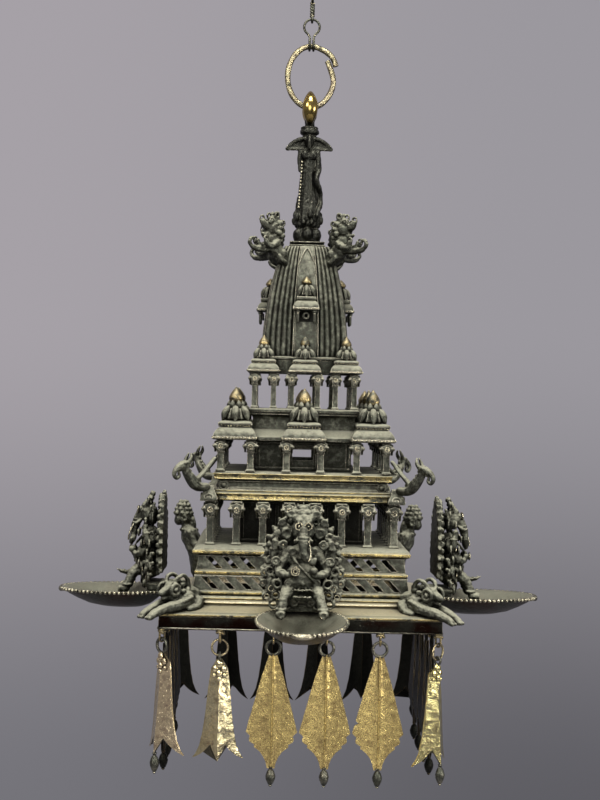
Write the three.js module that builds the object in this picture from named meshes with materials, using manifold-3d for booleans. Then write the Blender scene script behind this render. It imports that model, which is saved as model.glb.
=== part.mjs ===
// A hanging temple lamp. A hook, two links and a ring carry a hollow shrine tower on a pierced base with
// four oil dishes, seated figures and twenty pendants. Millimetres, +Z up, front towards -Y. The origin is
// the middle of the hook plate's top face.

import * as THREE from "three";
import { mergeVertices } from "three/addons/utils/BufferGeometryUtils.js";
import Module from "manifold-3d";

const wasm = await Module();
wasm.setup();

// Clearance between pieces that touch
const seatGap = 0.3;

// Hook, links and ring
const plateRadius = 17;
const plateThick = 3;
const stemRadius = 3;
const stemLength = 6;
const hookRadius = 8;
const hookWire = 2;
const linkRadius = 7.4;
const linkWire = 1.2;
const smallLoopRadius = 3;
const neckLength = 12;
const neckRadius = 2;
const ringLoopTurn = 30;
const ringHalfWidth = 22.5;
const ringHalfHeight = 29.5;
const ringWire = 2.7;
const ringEndAngle = 28;
const ringLap = 9;

// Hanger
const eyeRadius = 10.7;
const eyeTube = 6.5;
const collarRadius = 8.5;
const collarHeight = 9;
const headHeight = 36;
const robeHeight = 53;
const robeTopRadius = 9.5;
const robeBaseRadius = 13;
const bulbHeight = 12.5;
const bulbRadius = 14;
const wingSpan = 22.5;

// Spire
const platformHalf = 17;
const platformHeight = 5;
const spireHeight = 105;
const spireTopHalf = 20;
const spireBaseHalf = 38.5;
const spireSwell = 0.72;
const spireWall = 5;
const ribDepth = 0.045;
const panelShare = 0.3;
const shrineDrop = 35;
const shrineHalf = 12.5;
const shrineReach = 46;

// Upper storey
const upperDeckHeight = 9;
const upperEaveHeight = 5.5;
const upperKioskHalf = 15;
const upperKioskOut = 14.8;
const upperKioskHeight = 37;
const upperColumnHeight = 33;
const upperColumnOffsets = [12, 28.5, 46];
const upperColumnHalf = 2.6;
const upperSlabHalf = 51;
const upperSlabHeight = 6.7;
const drumHalf = 47.5;
const drumHeight = 18;
const drumWall = 6;

// Middle storey
const middleDeckHalf = 70;
const middleDeckHeight = 4;
const middleEaveHeight = 6;
const middleKioskHalf = 20;
const middleKioskOut = 2.5;
const middleKioskHeight = 48;
const middleColumnHeight = 28;
const middleColumnOffsets = [15.5, 48, 75];
const middleColumnHalf = 3;
const middleCellaHalf = 43;
const middleDoorHalf = 12;
const cellaWall = 3;
const ledgeHalf = 80;
const ledgeHeight = 7.6;

// Cornice
const recessHalf = 77;
const recessHeight = 10.5;
const corniceHalf = 83;
const corniceHeight = 8;
const cornerBlockHalf = 7.5;
const cornerBlockAt = 84;

// Lower storey
const lowerColumnHeight = 39;
const lowerColumnPitch = 23.6;
const lowerColumnsPerSide = 8;
const lowerColumnHalf = 3.4;
const lowerCellaHalf = 56;
const lowerDoorHalf = 15;
const shaftHoleHalf = 30;
const hallHoleHalf = 50;

// Plinth
const slabHalf = 97;
const slabHeight = 8;
const tierWall = 4;
const tierHeight = 17.5;
const tierTopHalf = 92;
const tierFlare = 3;
const slotWidth = 5.5;
const slotHeight = 10.5;
const slotSlant = -38;
const slotPitch = 15;
const slotMargin = 14;
const upperSlotsPerHalf = 3;
const lowerSlotsPerHalf = 4;

// Base tray
const mouldingHalf = 101;
const mouldingHeight = 8;
const mouldingBead = 1.6;
const baseHalf = 124;
const slopeDrop = 4.5;
const rimLip = 1.5;
const rimHeight = 3;
const apronHeight = 11.5;
const apronWall = 7;

// Eyelets and pendants
const eyeletWire = 0.9;
const eyeletDrop = 8;
const swingRoom = 0.25;
const pendantPitch = 46.6;
const pendantEyeRadius = 6.2;
const pendantEyeWire = 1.25;
const leafNeck = 3.2;
const leafHalf = 22;
const leafWidest = 70;
const leafLength = 100;
const leafEdge = 1.4;
const leafRidge = 4.6;
const finialLength = 18;
const finialRadius = 4.4;
const forkNeck = 2.4;
const forkTopHalf = 7.5;
const forkHalf = 22.5;
const forkLength = 88;
const forkNotch = 14;
const forkFold = 30;
const forkLean = 5.4;
const wireRingRadius = 7;
const wireRingWire = 1;
const bailRadius = 3.2;
const bailWire = 1.1;

// Dishes
const dishReach = 226;
const dishHalf = 40;
const dishDepth = 17;
const dishWall = 2.5;

// Figures
const auraHeight = 92;
const auraHalf = 33;
const auraThick = 4;
const makaraReach = 33;
const lionReach = 40;
const pawReach = 20;
const attendantHeight = 72;

// Finishes
const darkBronze = new THREE.MeshStandardMaterial({ color: 0x3f4239, roughness: 0.6, metalness: 0.8 });
const wornBrass = new THREE.MeshStandardMaterial({ color: 0x8f7f45, roughness: 0.45, metalness: 0.9 });
const brightBrass = new THREE.MeshStandardMaterial({ color: 0xb59a4d, roughness: 0.35, metalness: 0.95 });
const leafBrass = new THREE.MeshStandardMaterial({ color: 0xa8873f, roughness: 0.4, metalness: 0.95 });

// Levels, from the plate down
const hookZ = -(plateThick + stemLength + hookRadius);
const hookSeatZ = hookZ - hookRadius;
const upperEyeZ = hookSeatZ + hookWire + linkWire + seatGap - linkRadius;
const smallLoopZ = upperEyeZ - linkRadius - neckLength - smallLoopRadius;
const upperSeatZ = smallLoopZ - smallLoopRadius;
const lowerEyeZ = upperSeatZ + 2 * linkWire + seatGap - linkRadius;
const ringLoopZ = lowerEyeZ - 2 * linkRadius;
const lowerSeatZ = ringLoopZ - linkRadius;
const ringZ = lowerSeatZ + linkWire + ringWire + seatGap - ringHalfHeight;
const ringSeatZ = ringZ - ringHalfHeight;
const eyeZ = ringSeatZ + ringWire + seatGap - (eyeRadius - eyeTube);
const collarZ = eyeZ - eyeRadius - eyeTube;
const robeZ = collarZ - collarHeight - headHeight;
const bulbZ = robeZ - robeHeight;
const platformZ = bulbZ - bulbHeight - seatGap;
const spireZ = platformZ - platformHeight;
const spireFootZ = spireZ - spireHeight;
const upperDeckZ = spireFootZ - seatGap;
const upperKioskPitch = spireBaseHalf + upperKioskOut - upperKioskHalf;
const middleKioskPitch = ledgeHalf + middleKioskOut - middleKioskHalf;
const upperRoofFootZ = upperDeckZ - upperDeckHeight - upperEaveHeight;
const upperColumnZ = upperRoofFootZ - seatGap;
const upperFloorZ = upperColumnZ - upperColumnHeight;
const upperFootZ = upperFloorZ - upperSlabHeight - drumHeight;
const middleDeckZ = upperFootZ - seatGap;
const middleRoofFootZ = middleDeckZ - middleDeckHeight;
const middleColumnZ = middleRoofFootZ - seatGap;
const ledgeZ = middleColumnZ - middleColumnHeight;
const corniceTopZ = ledgeZ - ledgeHeight - seatGap;
const corniceFootZ = corniceTopZ - recessHeight - corniceHeight;
const lowerColumnZ = corniceFootZ - seatGap;
const slabZ = lowerColumnZ - lowerColumnHeight;
const upperTierZ = slabZ - slabHeight - seatGap;
const lowerTierZ = upperTierZ - tierHeight - seatGap;
const trayZ = lowerTierZ - tierHeight - seatGap;
const slopeZ = trayZ - mouldingHeight;
const rimZ = slopeZ - slopeDrop;
const apronFootZ = rimZ - rimHeight - apronHeight;
const pendantPivotZ = apronFootZ - eyeletDrop;
const pendantPlane = baseHalf - apronWall / 2;
const dishRimZ = slopeZ + 1;

// A closed three.js geometry as a solid with its faces pointing out
function solid(geometry) {
  const bare = new THREE.BufferGeometry();
  bare.setAttribute("position", geometry.getAttribute("position").clone());
  if (geometry.index) bare.setIndex(geometry.index.clone());
  const merged = mergeVertices(bare, 1e-4);
  const corners = merged.index.array;
  const kept = [];
  for (let i = 0; i < corners.length; i += 3) {
    const [a, b, c] = [corners[i], corners[i + 1], corners[i + 2]];
    if (a !== b && b !== c && c !== a) kept.push(a, b, c);
  }
  const vertProperties = new Float32Array(merged.getAttribute("position").array);
  const made = new wasm.Manifold(
    new wasm.Mesh({ numProp: 3, vertProperties, triVerts: new Uint32Array(kept) }),
  );
  if (made.volume() >= 0) return made;
  kept.reverse();
  return new wasm.Manifold(
    new wasm.Mesh({ numProp: 3, vertProperties, triVerts: new Uint32Array(kept) }),
  );
}

function join(...solids) {
  return solids.flat().reduce((all, next) => all.add(next));
}

function geometryOf(body) {
  const mesh = body.getMesh();
  const count = mesh.vertProperties.length / mesh.numProp;
  const positions = new Float32Array(count * 3);
  for (let i = 0; i < count; i++)
    for (let k = 0; k < 3; k++) positions[i * 3 + k] = mesh.vertProperties[i * mesh.numProp + k];
  return new THREE.BufferGeometry()
    .setAttribute("position", new THREE.BufferAttribute(positions, 3))
    .setIndex(new THREE.BufferAttribute(mesh.triVerts, 1));
}

// Closed skin through rings of points, closed at each end by a fan to a tip or to the ring's middle
function loft(rings, firstTip, lastTip) {
  const count = rings[0].length;
  const points = rings.flat();
  const index = [];
  for (let r = 0; r + 1 < rings.length; r++)
    for (let i = 0; i < count; i++) {
      const a = r * count + i;
      const b = r * count + ((i + 1) % count);
      index.push(a, b, b + count, a, b + count, a + count);
    }
  const middleOf = (ring) =>
    ring.reduce((sum, p) => sum.add(p), new THREE.Vector3()).divideScalar(ring.length);
  const ends = [
    [0, firstTip ?? middleOf(rings[0])],
    [rings.length - 1, lastTip ?? middleOf(rings[rings.length - 1])],
  ];
  ends.forEach(([r, tip]) => {
    points.push(tip);
    const middle = points.length - 1;
    for (let i = 0; i < count; i++) {
      const a = r * count + i;
      const b = r * count + ((i + 1) % count);
      if (r === 0) index.push(middle, b, a);
      else index.push(middle, a, b);
    }
  });
  return solid(new THREE.BufferGeometry().setFromPoints(points).setIndex(index));
}

function at(x, y, z) {
  return new THREE.Vector3(x, y, z);
}

function radians(degrees) {
  return (degrees * Math.PI) / 180;
}

// A block by its half sizes, its foot and top levels and the middle of its plan
function block(halfX, halfY, footZ, topZ, x = 0, y = 0) {
  const box = new THREE.BoxGeometry(2 * halfX, 2 * halfY, topZ - footZ);
  return solid(box.translate(x, y, (topZ + footZ) / 2));
}

function squareRingPoints(half, z, x = 0, y = 0) {
  const signs = [[-1, -1], [1, -1], [1, 1], [-1, 1]];
  return signs.map(([i, j]) => at(x + i * half, y + j * half, z));
}

// A stack of squares, each given as its half size and level
function squareStack(levels, x = 0, y = 0) {
  return loft(levels.map(([half, z]) => squareRingPoints(half, z, x, y)));
}

// A closed profile of half sizes and levels, swept round the square
function squareFrame(profile) {
  const points = [...profile, profile[0]].map(([half, z]) => new THREE.Vector2(half * Math.SQRT2, z));
  return solid(new THREE.LatheGeometry(points, 4, Math.PI / 4).rotateX(Math.PI / 2));
}

// A turned shape from radius and level pairs, that starts and ends on its axis
function turned(profile, sides, x = 0, y = 0) {
  const points = profile.map(([radius, z]) => new THREE.Vector2(radius, z));
  return solid(new THREE.LatheGeometry(points, sides).rotateX(Math.PI / 2).translate(x, y, 0));
}

function ball(middle, radii, sides = 6, rings = 4) {
  const geometry = new THREE.SphereGeometry(1, sides, rings).rotateX(Math.PI / 2);
  return solid(geometry.scale(...radii).translate(middle.x, middle.y, middle.z));
}

// A tapered limb through several points, given as point and radius pairs, with a pointed cap at each end
function limb(stops, sides = 5) {
  const last = stops.length - 1;
  const step = (i) => stops[i + 1][0].clone().sub(stops[i][0]).normalize();
  const bend = last > 1 ? step(0).cross(step(1)) : at(0, 0, 0);
  const level = Math.abs(step(0).z) > 0.9 ? at(1, 0, 0) : at(0, 0, 1);
  const side = bend.length() > 0.05 ? bend.normalize() : level;
  const rings = stops.map(([middle, radius], i) => {
    const along = step(Math.max(i - 1, 0)).add(step(Math.min(i, last - 1))).normalize();
    const u = side.clone().cross(along).normalize();
    const v = along.clone().cross(u);
    return Array.from({ length: sides }, (_, k) => {
      const turn = (2 * Math.PI * k) / sides;
      const point = middle.clone().addScaledVector(u, radius * Math.cos(turn));
      return point.addScaledVector(v, radius * Math.sin(turn));
    });
  });
  const [first, firstRadius] = stops[0];
  const [final, finalRadius] = stops[last];
  return loft(
    rings,
    first.clone().addScaledVector(step(0), -firstRadius * 0.7),
    final.clone().addScaledVector(step(last - 1), finalRadius * 0.7),
  );
}

// A round tube along a smooth curve through the points
function tube(points, radius, sides, steps) {
  const section = new THREE.Shape(
    Array.from({ length: sides }, (_, i) => {
      const turn = (2 * Math.PI * i) / sides;
      return new THREE.Vector2(radius * Math.cos(turn), radius * Math.sin(turn));
    }),
  );
  const extrudePath = new THREE.CatmullRomCurve3(points, false, "centripetal");
  return solid(new THREE.ExtrudeGeometry(section, { steps, bevelEnabled: false, extrudePath }));
}

// A wire loop standing upright, with its axis turned from the X axis about Z
function wireLoop(radius, wire, z, turn, sides = 6, steps = 12) {
  const loop = new THREE.TorusGeometry(radius, wire, sides, steps).rotateY(Math.PI / 2);
  return solid(loop.rotateZ(radians(turn)).translate(0, 0, z));
}

function rotated(body, degrees) {
  return solid(geometryOf(body).rotateZ(radians(degrees)));
}

// A figure that is drawn about its own foot, brought to its size and then to its place
function placed(body, size, x, y, z) {
  return solid(geometryOf(body).scale(size, size, size).translate(x, y, z));
}

// Plan positions round a square for the given offsets from the middle, the largest being the corner
function roundSquare(offsets) {
  const corner = Math.max(...offsets);
  const signed = offsets.flatMap((offset) => (offset === 0 ? [0] : [-offset, offset]));
  return signed.flatMap((x) => signed.map((y) => [x, y])).filter(([x, y]) =>
    Math.max(Math.abs(x), Math.abs(y)) === corner,
  );
}

const lamp = new THREE.Group();

function addPiece(name, body, finish, parent = lamp) {
  const mesh = new THREE.Mesh(geometryOf(body), finish);
  mesh.name = name;
  parent.add(mesh);
  return mesh;
}

// A group turned about the lamp's axis, for a piece that is made facing the front
function turnedGroup(degrees) {
  const group = new THREE.Group();
  group.rotation.z = radians(degrees);
  lamp.add(group);
  return group;
}

// Hook, links and ring

function makeHook() {
  const plate = turned(
    [[0, -plateThick], [plateRadius, -plateThick], [plateRadius, 0], [0, 0]],
    20,
  );
  const stemFoot = hookZ + hookRadius;
  const stem = turned(
    [[0, stemFoot], [stemRadius, stemFoot], [stemRadius, -plateThick / 2], [0, -plateThick / 2]],
    6,
  );
  return join(plate, stem, wireLoop(hookRadius, hookWire, hookZ, 90, 6, 16));
}

function makeUpperLink() {
  const neckTop = upperEyeZ - linkRadius;
  const neckFoot = smallLoopZ + smallLoopRadius;
  const neck = turned([[0, neckFoot], [neckRadius, neckFoot], [neckRadius, neckTop], [0, neckTop]], 6);
  return join(
    wireLoop(linkRadius, linkWire, upperEyeZ, 0),
    neck,
    wireLoop(smallLoopRadius, linkWire, smallLoopZ, 0, 6, 8),
  );
}

function makeLowerLink() {
  return join(
    wireLoop(linkRadius, linkWire, lowerEyeZ, 90),
    wireLoop(linkRadius, linkWire, ringLoopZ, ringLoopTurn),
  );
}

// The ring's wire laps past its own start on the right, one end outside the other
function makeRing() {
  const shift = ringWire + seatGap;
  const turns = 40;
  const from = radians(ringEndAngle + ringLap);
  const sweep = 2 * Math.PI - radians(2 * ringLap) + radians(4 * ringLap);
  const rise = THREE.MathUtils.smoothstep;
  const points = Array.from({ length: turns + 1 }, (_, i) => {
    const share = i / turns;
    const angle = from - radians(2 * ringLap) + share * sweep;
    const outward = shift * (1 - rise(share, 0.03, 0.14) - rise(share, 0.86, 0.97));
    const x = (ringHalfWidth + outward) * Math.cos(angle);
    const z = (ringHalfHeight + outward) * Math.sin(angle);
    return at(x, 0, ringZ + z);
  });
  return tube(points, ringWire, 6, 32);
}

function makeHanger() {
  const eye = wireLoop(eyeRadius, eyeTube, eyeZ, 0, 8, 12);
  const collarFoot = collarZ - collarHeight;
  const headZ = collarFoot - headHeight * 0.55;
  const body = turned(
    [
      [0, collarZ + eyeTube / 2],
      [collarRadius * 0.7, collarZ + eyeTube / 3],
      [collarRadius, collarZ - collarHeight * 0.2],
      [collarRadius, collarFoot],
      [collarRadius * 0.75, collarFoot - 2],
      [collarRadius * 0.75, collarFoot - headHeight * 0.3],
      [robeTopRadius + 1.5, headZ],
      [robeTopRadius, robeZ],
      [robeTopRadius, robeZ - robeHeight * 0.45],
      [robeBaseRadius, robeZ - robeHeight * 0.85],
      [robeBaseRadius * 0.8, bulbZ],
      [bulbRadius, bulbZ - bulbHeight * 0.4],
      [bulbRadius, bulbZ - bulbHeight * 0.8],
      [bulbRadius * 0.8, bulbZ - bulbHeight],
      [0, bulbZ - bulbHeight],
    ],
    9,
  );
  const wingZ = collarFoot - 5;
  const wings = [-1, 1].map((side) =>
    limb([
      [at(side * 3, 0, wingZ), 5.5],
      [at(side * (wingSpan - 1), 0, wingZ - 4), 1.4],
    ]),
  );
  return join(eye, body, wings);
}

// Spire

function spireHalfAt(share) {
  const swell = Math.sin((share * Math.PI) / 2) ** spireSwell;
  return spireTopHalf + (spireBaseHalf - spireTopHalf) * swell;
}

// One level of the spire's ribbed plan: a raised middle panel with ribs beside it on every face
function ribbedPlan(half, z, depth) {
  const stops = [panelShare, 0.44, 0.58, 0.72, 0.86];
  const face = [...stops.map((s) => -s).reverse(), ...stops];
  const points = [];
  for (let side = 0; side < 4; side++) {
    points.push(at(-half, -half, 0).applyAxisAngle(at(0, 0, 1), (side * Math.PI) / 2));
    face.forEach((share, i) => {
      const sunk = Math.abs(share) === panelShare ? -depth : i % 2 === 0 ? depth : 0;
      const point = at(share * half, -half * (1 - sunk), 0);
      points.push(point.applyAxisAngle(at(0, 0, 1), (side * Math.PI) / 2));
    });
  }
  points.forEach((point) => (point.z = z));
  return points;
}

// The spire's outside, grown all round by the given clearance
function spireShell(grow, depth) {
  const levels = 6;
  const rings = Array.from({ length: levels + 1 }, (_, i) => {
    const share = i / levels;
    const end = i === 0 ? grow : i === levels ? -grow : 0;
    return ribbedPlan(spireHalfAt(share) + grow, spireZ - share * spireHeight + end, depth);
  });
  return loft(rings.reverse());
}

// The room that the spire takes, with the clearance, as a plain stack of squares. Its middle panels stand
// proud by a share of its half width, and its corners don't.
function spireRoom(proud) {
  const levels = 6;
  const squares = Array.from({ length: levels + 1 }, (_, i) => {
    const share = 1 - i / levels;
    return [spireHalfAt(share) * (1 + proud) + seatGap, spireZ - share * spireHeight];
  });
  squares[0][1] -= seatGap;
  squares[levels][1] += seatGap;
  return squareStack(squares);
}

function makeMidShrine() {
  const roofZ = spireZ - shrineDrop;
  const y = -shrineReach + shrineHalf;
  const roof = squareStack(
    [
      [shrineHalf * 0.8, roofZ - 26],
      [shrineHalf, roofZ - 24],
      [shrineHalf, roofZ - 21],
      [shrineHalf * 0.62, roofZ - 13],
    ],
    0,
    y,
  );
  const foot = block(shrineHalf * 0.7, shrineHalf * 0.75, roofZ - 36, roofZ - 25, 0, y + 1);
  return join(roof, foot, domeAndFinial(roofZ - 14, shrineHalf * 0.62, 17, 0, y));
}

// A ribbed dome with a bulb finial, by its foot level, radius and height
function domeAndFinial(footZ, radius, height, x, y) {
  const dome = turned(
    [
      [0, footZ - 0.5],
      [radius * 0.85, footZ - 0.5],
      [radius, footZ + height * 0.2],
      [0, footZ + height * 0.52],
    ],
    6,
    x,
    y,
  );
  const finial = turned(
    [
      [0, footZ + height * 0.38],
      [radius * 0.36, footZ + height * 0.42],
      [radius * 0.56, footZ + height * 0.7],
      [0, footZ + height],
    ],
    5,
    x,
    y,
  );
  return join(dome, finial);
}

function makeSpire() {
  const shell = spireShell(0, ribDepth);
  const shrines = [0, 90, 180, 270].map((turn) => rotated(makeMidShrine(), turn));
  const platform = block(platformHalf, platformHalf, spireZ - 1, platformZ);
  const hollow = squareStack([
    [spireBaseHalf - spireWall, spireFootZ - 1],
    [spireHalfAt(0.6) - spireWall - 2, spireZ - spireHeight * 0.6],
    [spireHalfAt(0.25) - spireWall - 3, spireZ - spireHeight * 0.25],
    [spireTopHalf - spireWall - 3, spireZ - 8],
  ]);
  return join(shell, shrines, platform).subtract(hollow);
}

// Kiosks and columns

// A small domed kiosk roof on a square eave
function kiosk(half, height, eaveHeight, footZ, x, y) {
  const roofTop = footZ + height * 0.4;
  const roof = squareStack(
    [
      [half * 0.97, footZ],
      [half, footZ + eaveHeight],
      [half * 0.6, roofTop],
    ],
    x,
    y,
  );
  return join(roof, domeAndFinial(roofTop, half * 0.52, height * 0.6, x, y));
}

function column(x, y, half, footZ, topZ) {
  const capitalHeight = (topZ - footZ) * 0.3;
  return squareStack(
    [
      [half, footZ - 1],
      [half, topZ - capitalHeight],
      [half * 1.75, topZ],
    ],
    x,
    y,
  );
}

function makeUpperRoof() {
  const deck = squareFrame([
    [spireBaseHalf + 6, upperDeckZ],
    [spireBaseHalf + 6, upperRoofFootZ],
    [shaftHoleHalf, upperRoofFootZ],
    [shaftHoleHalf, upperDeckZ],
  ]);
  const kiosks = roundSquare([0, upperKioskPitch]).map(([x, y]) =>
    kiosk(upperKioskHalf, upperKioskHeight, upperEaveHeight, upperRoofFootZ, x, y),
  );
  return join(deck, kiosks).subtract(spireRoom(ribDepth));
}

function makeUpperGallery() {
  const slab = squareFrame([
    [upperSlabHalf, upperFloorZ],
    [upperSlabHalf, upperFloorZ - upperSlabHeight],
    [drumHalf, upperFloorZ - upperSlabHeight],
    [drumHalf, upperFootZ],
    [drumHalf - drumWall, upperFootZ],
    [drumHalf - drumWall, upperFloorZ - upperSlabHeight / 2],
    [shaftHoleHalf, upperFloorZ - upperSlabHeight / 2],
    [shaftHoleHalf, upperFloorZ],
  ]);
  const columns = roundSquare(upperColumnOffsets).map(([x, y]) =>
    column(x, y, upperColumnHalf, upperFloorZ, upperColumnZ),
  );
  return join(slab, columns);
}

function makeMiddleRoof() {
  const deck = squareFrame([
    [middleDeckHalf, middleDeckZ],
    [middleDeckHalf, middleRoofFootZ],
    [shaftHoleHalf, middleRoofFootZ],
    [shaftHoleHalf, middleDeckZ],
  ]);
  const kiosks = roundSquare([0, middleKioskPitch]).map(([x, y]) =>
    kiosk(middleKioskHalf, middleKioskHeight, middleEaveHeight, middleRoofFootZ, x, y),
  );
  const drumRoom = squareStack([
    [drumHalf + seatGap, middleDeckZ],
    [drumHalf + seatGap, upperFloorZ - upperSlabHeight - seatGap],
    [upperSlabHalf + seatGap, upperFloorZ - upperSlabHeight - seatGap],
    [upperSlabHalf + seatGap, upperColumnZ],
  ]);
  return join(deck, kiosks).subtract(drumRoom);
}

function makeMiddleGallery() {
  const ledge = squareFrame([
    [ledgeHalf, ledgeZ],
    [ledgeHalf + 1, ledgeZ - ledgeHeight / 2],
    [ledgeHalf, ledgeZ - ledgeHeight],
    [shaftHoleHalf, ledgeZ - ledgeHeight],
    [shaftHoleHalf, ledgeZ],
  ]);
  const columns = roundSquare(middleColumnOffsets).map(([x, y]) =>
    column(x, y, middleColumnHalf, ledgeZ, middleColumnZ),
  );
  return join(ledge, columns);
}

// Square walls with a door in the middle of each side
function makeCella(half, doorHalf, footZ, topZ) {
  const walls = squareFrame([
    [half, topZ],
    [half, footZ],
    [half - cellaWall, footZ],
    [half - cellaWall, topZ],
  ]);
  const doorTop = topZ - (topZ - footZ) * 0.18;
  const doorFoot = footZ + (topZ - footZ) * 0.1;
  return walls
    .subtract(block(doorHalf, half + 1, doorFoot, doorTop))
    .subtract(block(half + 1, doorHalf, doorFoot, doorTop));
}

// Cornice

function cornerBlocks(half, footZ, topZ, distance) {
  return roundSquare([distance])
    .filter(([x, y]) => Math.abs(x) === Math.abs(y))
    .map(([x, y]) => block(half, half, footZ, topZ, x, y));
}

function makeCornice() {
  const band = squareFrame([
    [recessHalf, corniceTopZ],
    [recessHalf, corniceTopZ - recessHeight],
    [corniceHalf, corniceTopZ - recessHeight],
    [corniceHalf + 1, corniceTopZ - recessHeight - corniceHeight / 2],
    [corniceHalf, corniceFootZ],
    [hallHoleHalf, corniceFootZ],
    [hallHoleHalf, corniceTopZ],
  ]);
  return join(band, cornerBlocks(cornerBlockHalf, corniceFootZ, corniceTopZ, cornerBlockAt));
}

// Lower storey and plinth

function makeLowerGallery() {
  const slab = squareFrame([
    [slabHalf - 2, slabZ],
    [slabHalf, slabZ - slabHeight * 0.55],
    [slabHalf, slabZ - slabHeight],
    [hallHoleHalf, slabZ - slabHeight],
    [hallHoleHalf, slabZ],
  ]);
  const offsets = Array.from({ length: lowerColumnsPerSide / 2 }, (_, i) => (i + 0.5) * lowerColumnPitch);
  const columns = roundSquare(offsets).map(([x, y]) => column(x, y, lowerColumnHalf, slabZ, lowerColumnZ));
  return join(slab, columns);
}

// A flared tier with slanting slots in both halves of each face, counted from its corners
function makeTier(topHalf, topZ, slotsPerHalf) {
  const footHalf = topHalf + tierFlare;
  const footZ = topZ - tierHeight;
  const walls = squareFrame([
    [topHalf, topZ],
    [topHalf + tierFlare * 0.4, footZ + 4],
    [footHalf, footZ + 3],
    [footHalf, footZ],
    [topHalf - tierWall, footZ],
    [topHalf - tierWall, topZ],
  ]);
  const slotZ = topZ - 1.5 - slotHeight / 2;
  const slots = [];
  for (let side = 0; side < 4; side++)
    for (let i = 0; i < slotsPerHalf; i++)
      for (const hand of [-1, 1]) {
        const slot = new THREE.BoxGeometry(slotWidth, 5 * tierWall, slotHeight)
          .rotateY(radians(slotSlant))
          .translate(hand * (topHalf - slotMargin - i * slotPitch), -topHalf, slotZ)
          .rotateZ((side * Math.PI) / 2);
        slots.push(solid(slot));
      }
  return walls.subtract(join(slots));
}

// Base tray with its eyelets

function trayOutline(grow) {
  return [
    [mouldingHalf + grow, trayZ + grow],
    [mouldingHalf + mouldingBead + grow, trayZ - mouldingHeight * 0.25],
    [mouldingHalf + grow, trayZ - mouldingHeight * 0.5],
    [mouldingHalf + mouldingBead + grow, trayZ - mouldingHeight * 0.75],
    [mouldingHalf + grow, slopeZ + grow],
    [baseHalf + grow, rimZ + grow],
    [baseHalf + rimLip + grow, rimZ - rimHeight * 0.3],
    [baseHalf + rimLip + grow, rimZ - rimHeight],
    [baseHalf + grow, rimZ - rimHeight - grow],
    [baseHalf + grow, apronFootZ - grow],
  ];
}

// A staple in the plane across the side. The pendant's eye hangs in its bow with room to swing.
function eyelet() {
  const bow = pendantEyeWire + seatGap + swingRoom + eyeletWire;
  const legTop = apronFootZ + 1.5;
  const arc = Array.from({ length: 5 }, (_, i) => {
    const turn = (Math.PI * i) / 4;
    return at(0, -bow * Math.cos(turn), pendantPivotZ - bow * Math.sin(turn));
  });
  const path = [at(0, -bow, legTop), ...arc, at(0, bow, legTop)];
  return limb(path.map((point) => [point, eyeletWire]), 4);
}

// Plan place and turn of every pendant, named by its side and number
function pendantPlaces() {
  const sides = ["front", "right", "rear", "left"];
  return sides.flatMap((side, s) => {
    const turn = 90 * s;
    const along = [-1.5, -0.5, 0.5, 1.5].map((step) => step * pendantPitch);
    const straight = along.map((x, i) => ({
      name: `pendant_${side}_${i + 1}`,
      turn,
      spot: at(x, -pendantPlane, 0).applyAxisAngle(at(0, 0, 1), radians(turn)),
    }));
    const corner = {
      name: `pendant_corner_${s + 1}`,
      turn: turn + 45,
      spot: at(pendantPlane, -pendantPlane, 0).applyAxisAngle(at(0, 0, 1), radians(turn)),
    };
    return [...straight, corner];
  });
}

function makeBaseTray() {
  const tray = squareFrame([
    ...trayOutline(0),
    [baseHalf - apronWall, apronFootZ],
    [baseHalf - apronWall, rimZ - rimHeight],
    [tierTopHalf - tierWall, slopeZ - tierWall],
    [tierTopHalf - tierWall, trayZ],
  ]);
  const eyelets = pendantPlaces().map(({ turn, spot }) =>
    solid(geometryOf(eyelet()).rotateZ(radians(turn)).translate(spot.x, spot.y, 0)),
  );
  return join(tray, eyelets);
}

// The tray's outside as a filled block, grown by the clearance, to cut what stands on it
function trayRoom() {
  return squareStack(trayOutline(seatGap).reverse());
}

// Pendants

function finial(topZ) {
  return turned(
    [
      [0, topZ + 2],
      [finialRadius * 0.5, topZ],
      [finialRadius, topZ - finialLength * 0.5],
      [0, topZ - finialLength],
    ],
    5,
  );
}

// A thin plate with a ridge down its middle, from half width and level pairs
function ridgedPlate(levels) {
  return loft(
    levels.map(([half, z, ridge = leafRidge]) => [
      at(-half, -leafEdge / 2, z),
      at(0, -ridge / 2, z),
      at(half, -leafEdge / 2, z),
      at(half, leafEdge / 2, z),
      at(0, ridge / 2, z),
      at(-half, leafEdge / 2, z),
    ]),
  );
}

function pendantEye() {
  const loop = new THREE.TorusGeometry(pendantEyeRadius, pendantEyeWire, 4, 12);
  return solid(loop.rotateX(Math.PI / 2).translate(0, 0, -pendantEyeRadius));
}

// A pointed leaf under its eye, with scalloped shoulders and a drop finial. The pivot is at zero.
function makeLeaf() {
  const top = -2 * pendantEyeRadius + pendantEyeWire * 0.75;
  const plate = ridgedPlate([
    [leafNeck, top],
    [leafHalf * 0.5, top - leafWidest * 0.3],
    [leafHalf * 0.84, top - leafWidest * 0.68],
    [leafHalf, top - leafWidest],
    [leafHalf * 0.5, top - leafWidest * 1.2],
    [leafNeck, top - leafLength],
  ]);
  return join(pendantEye(), plate, finial(top - leafLength + 1));
}

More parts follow.
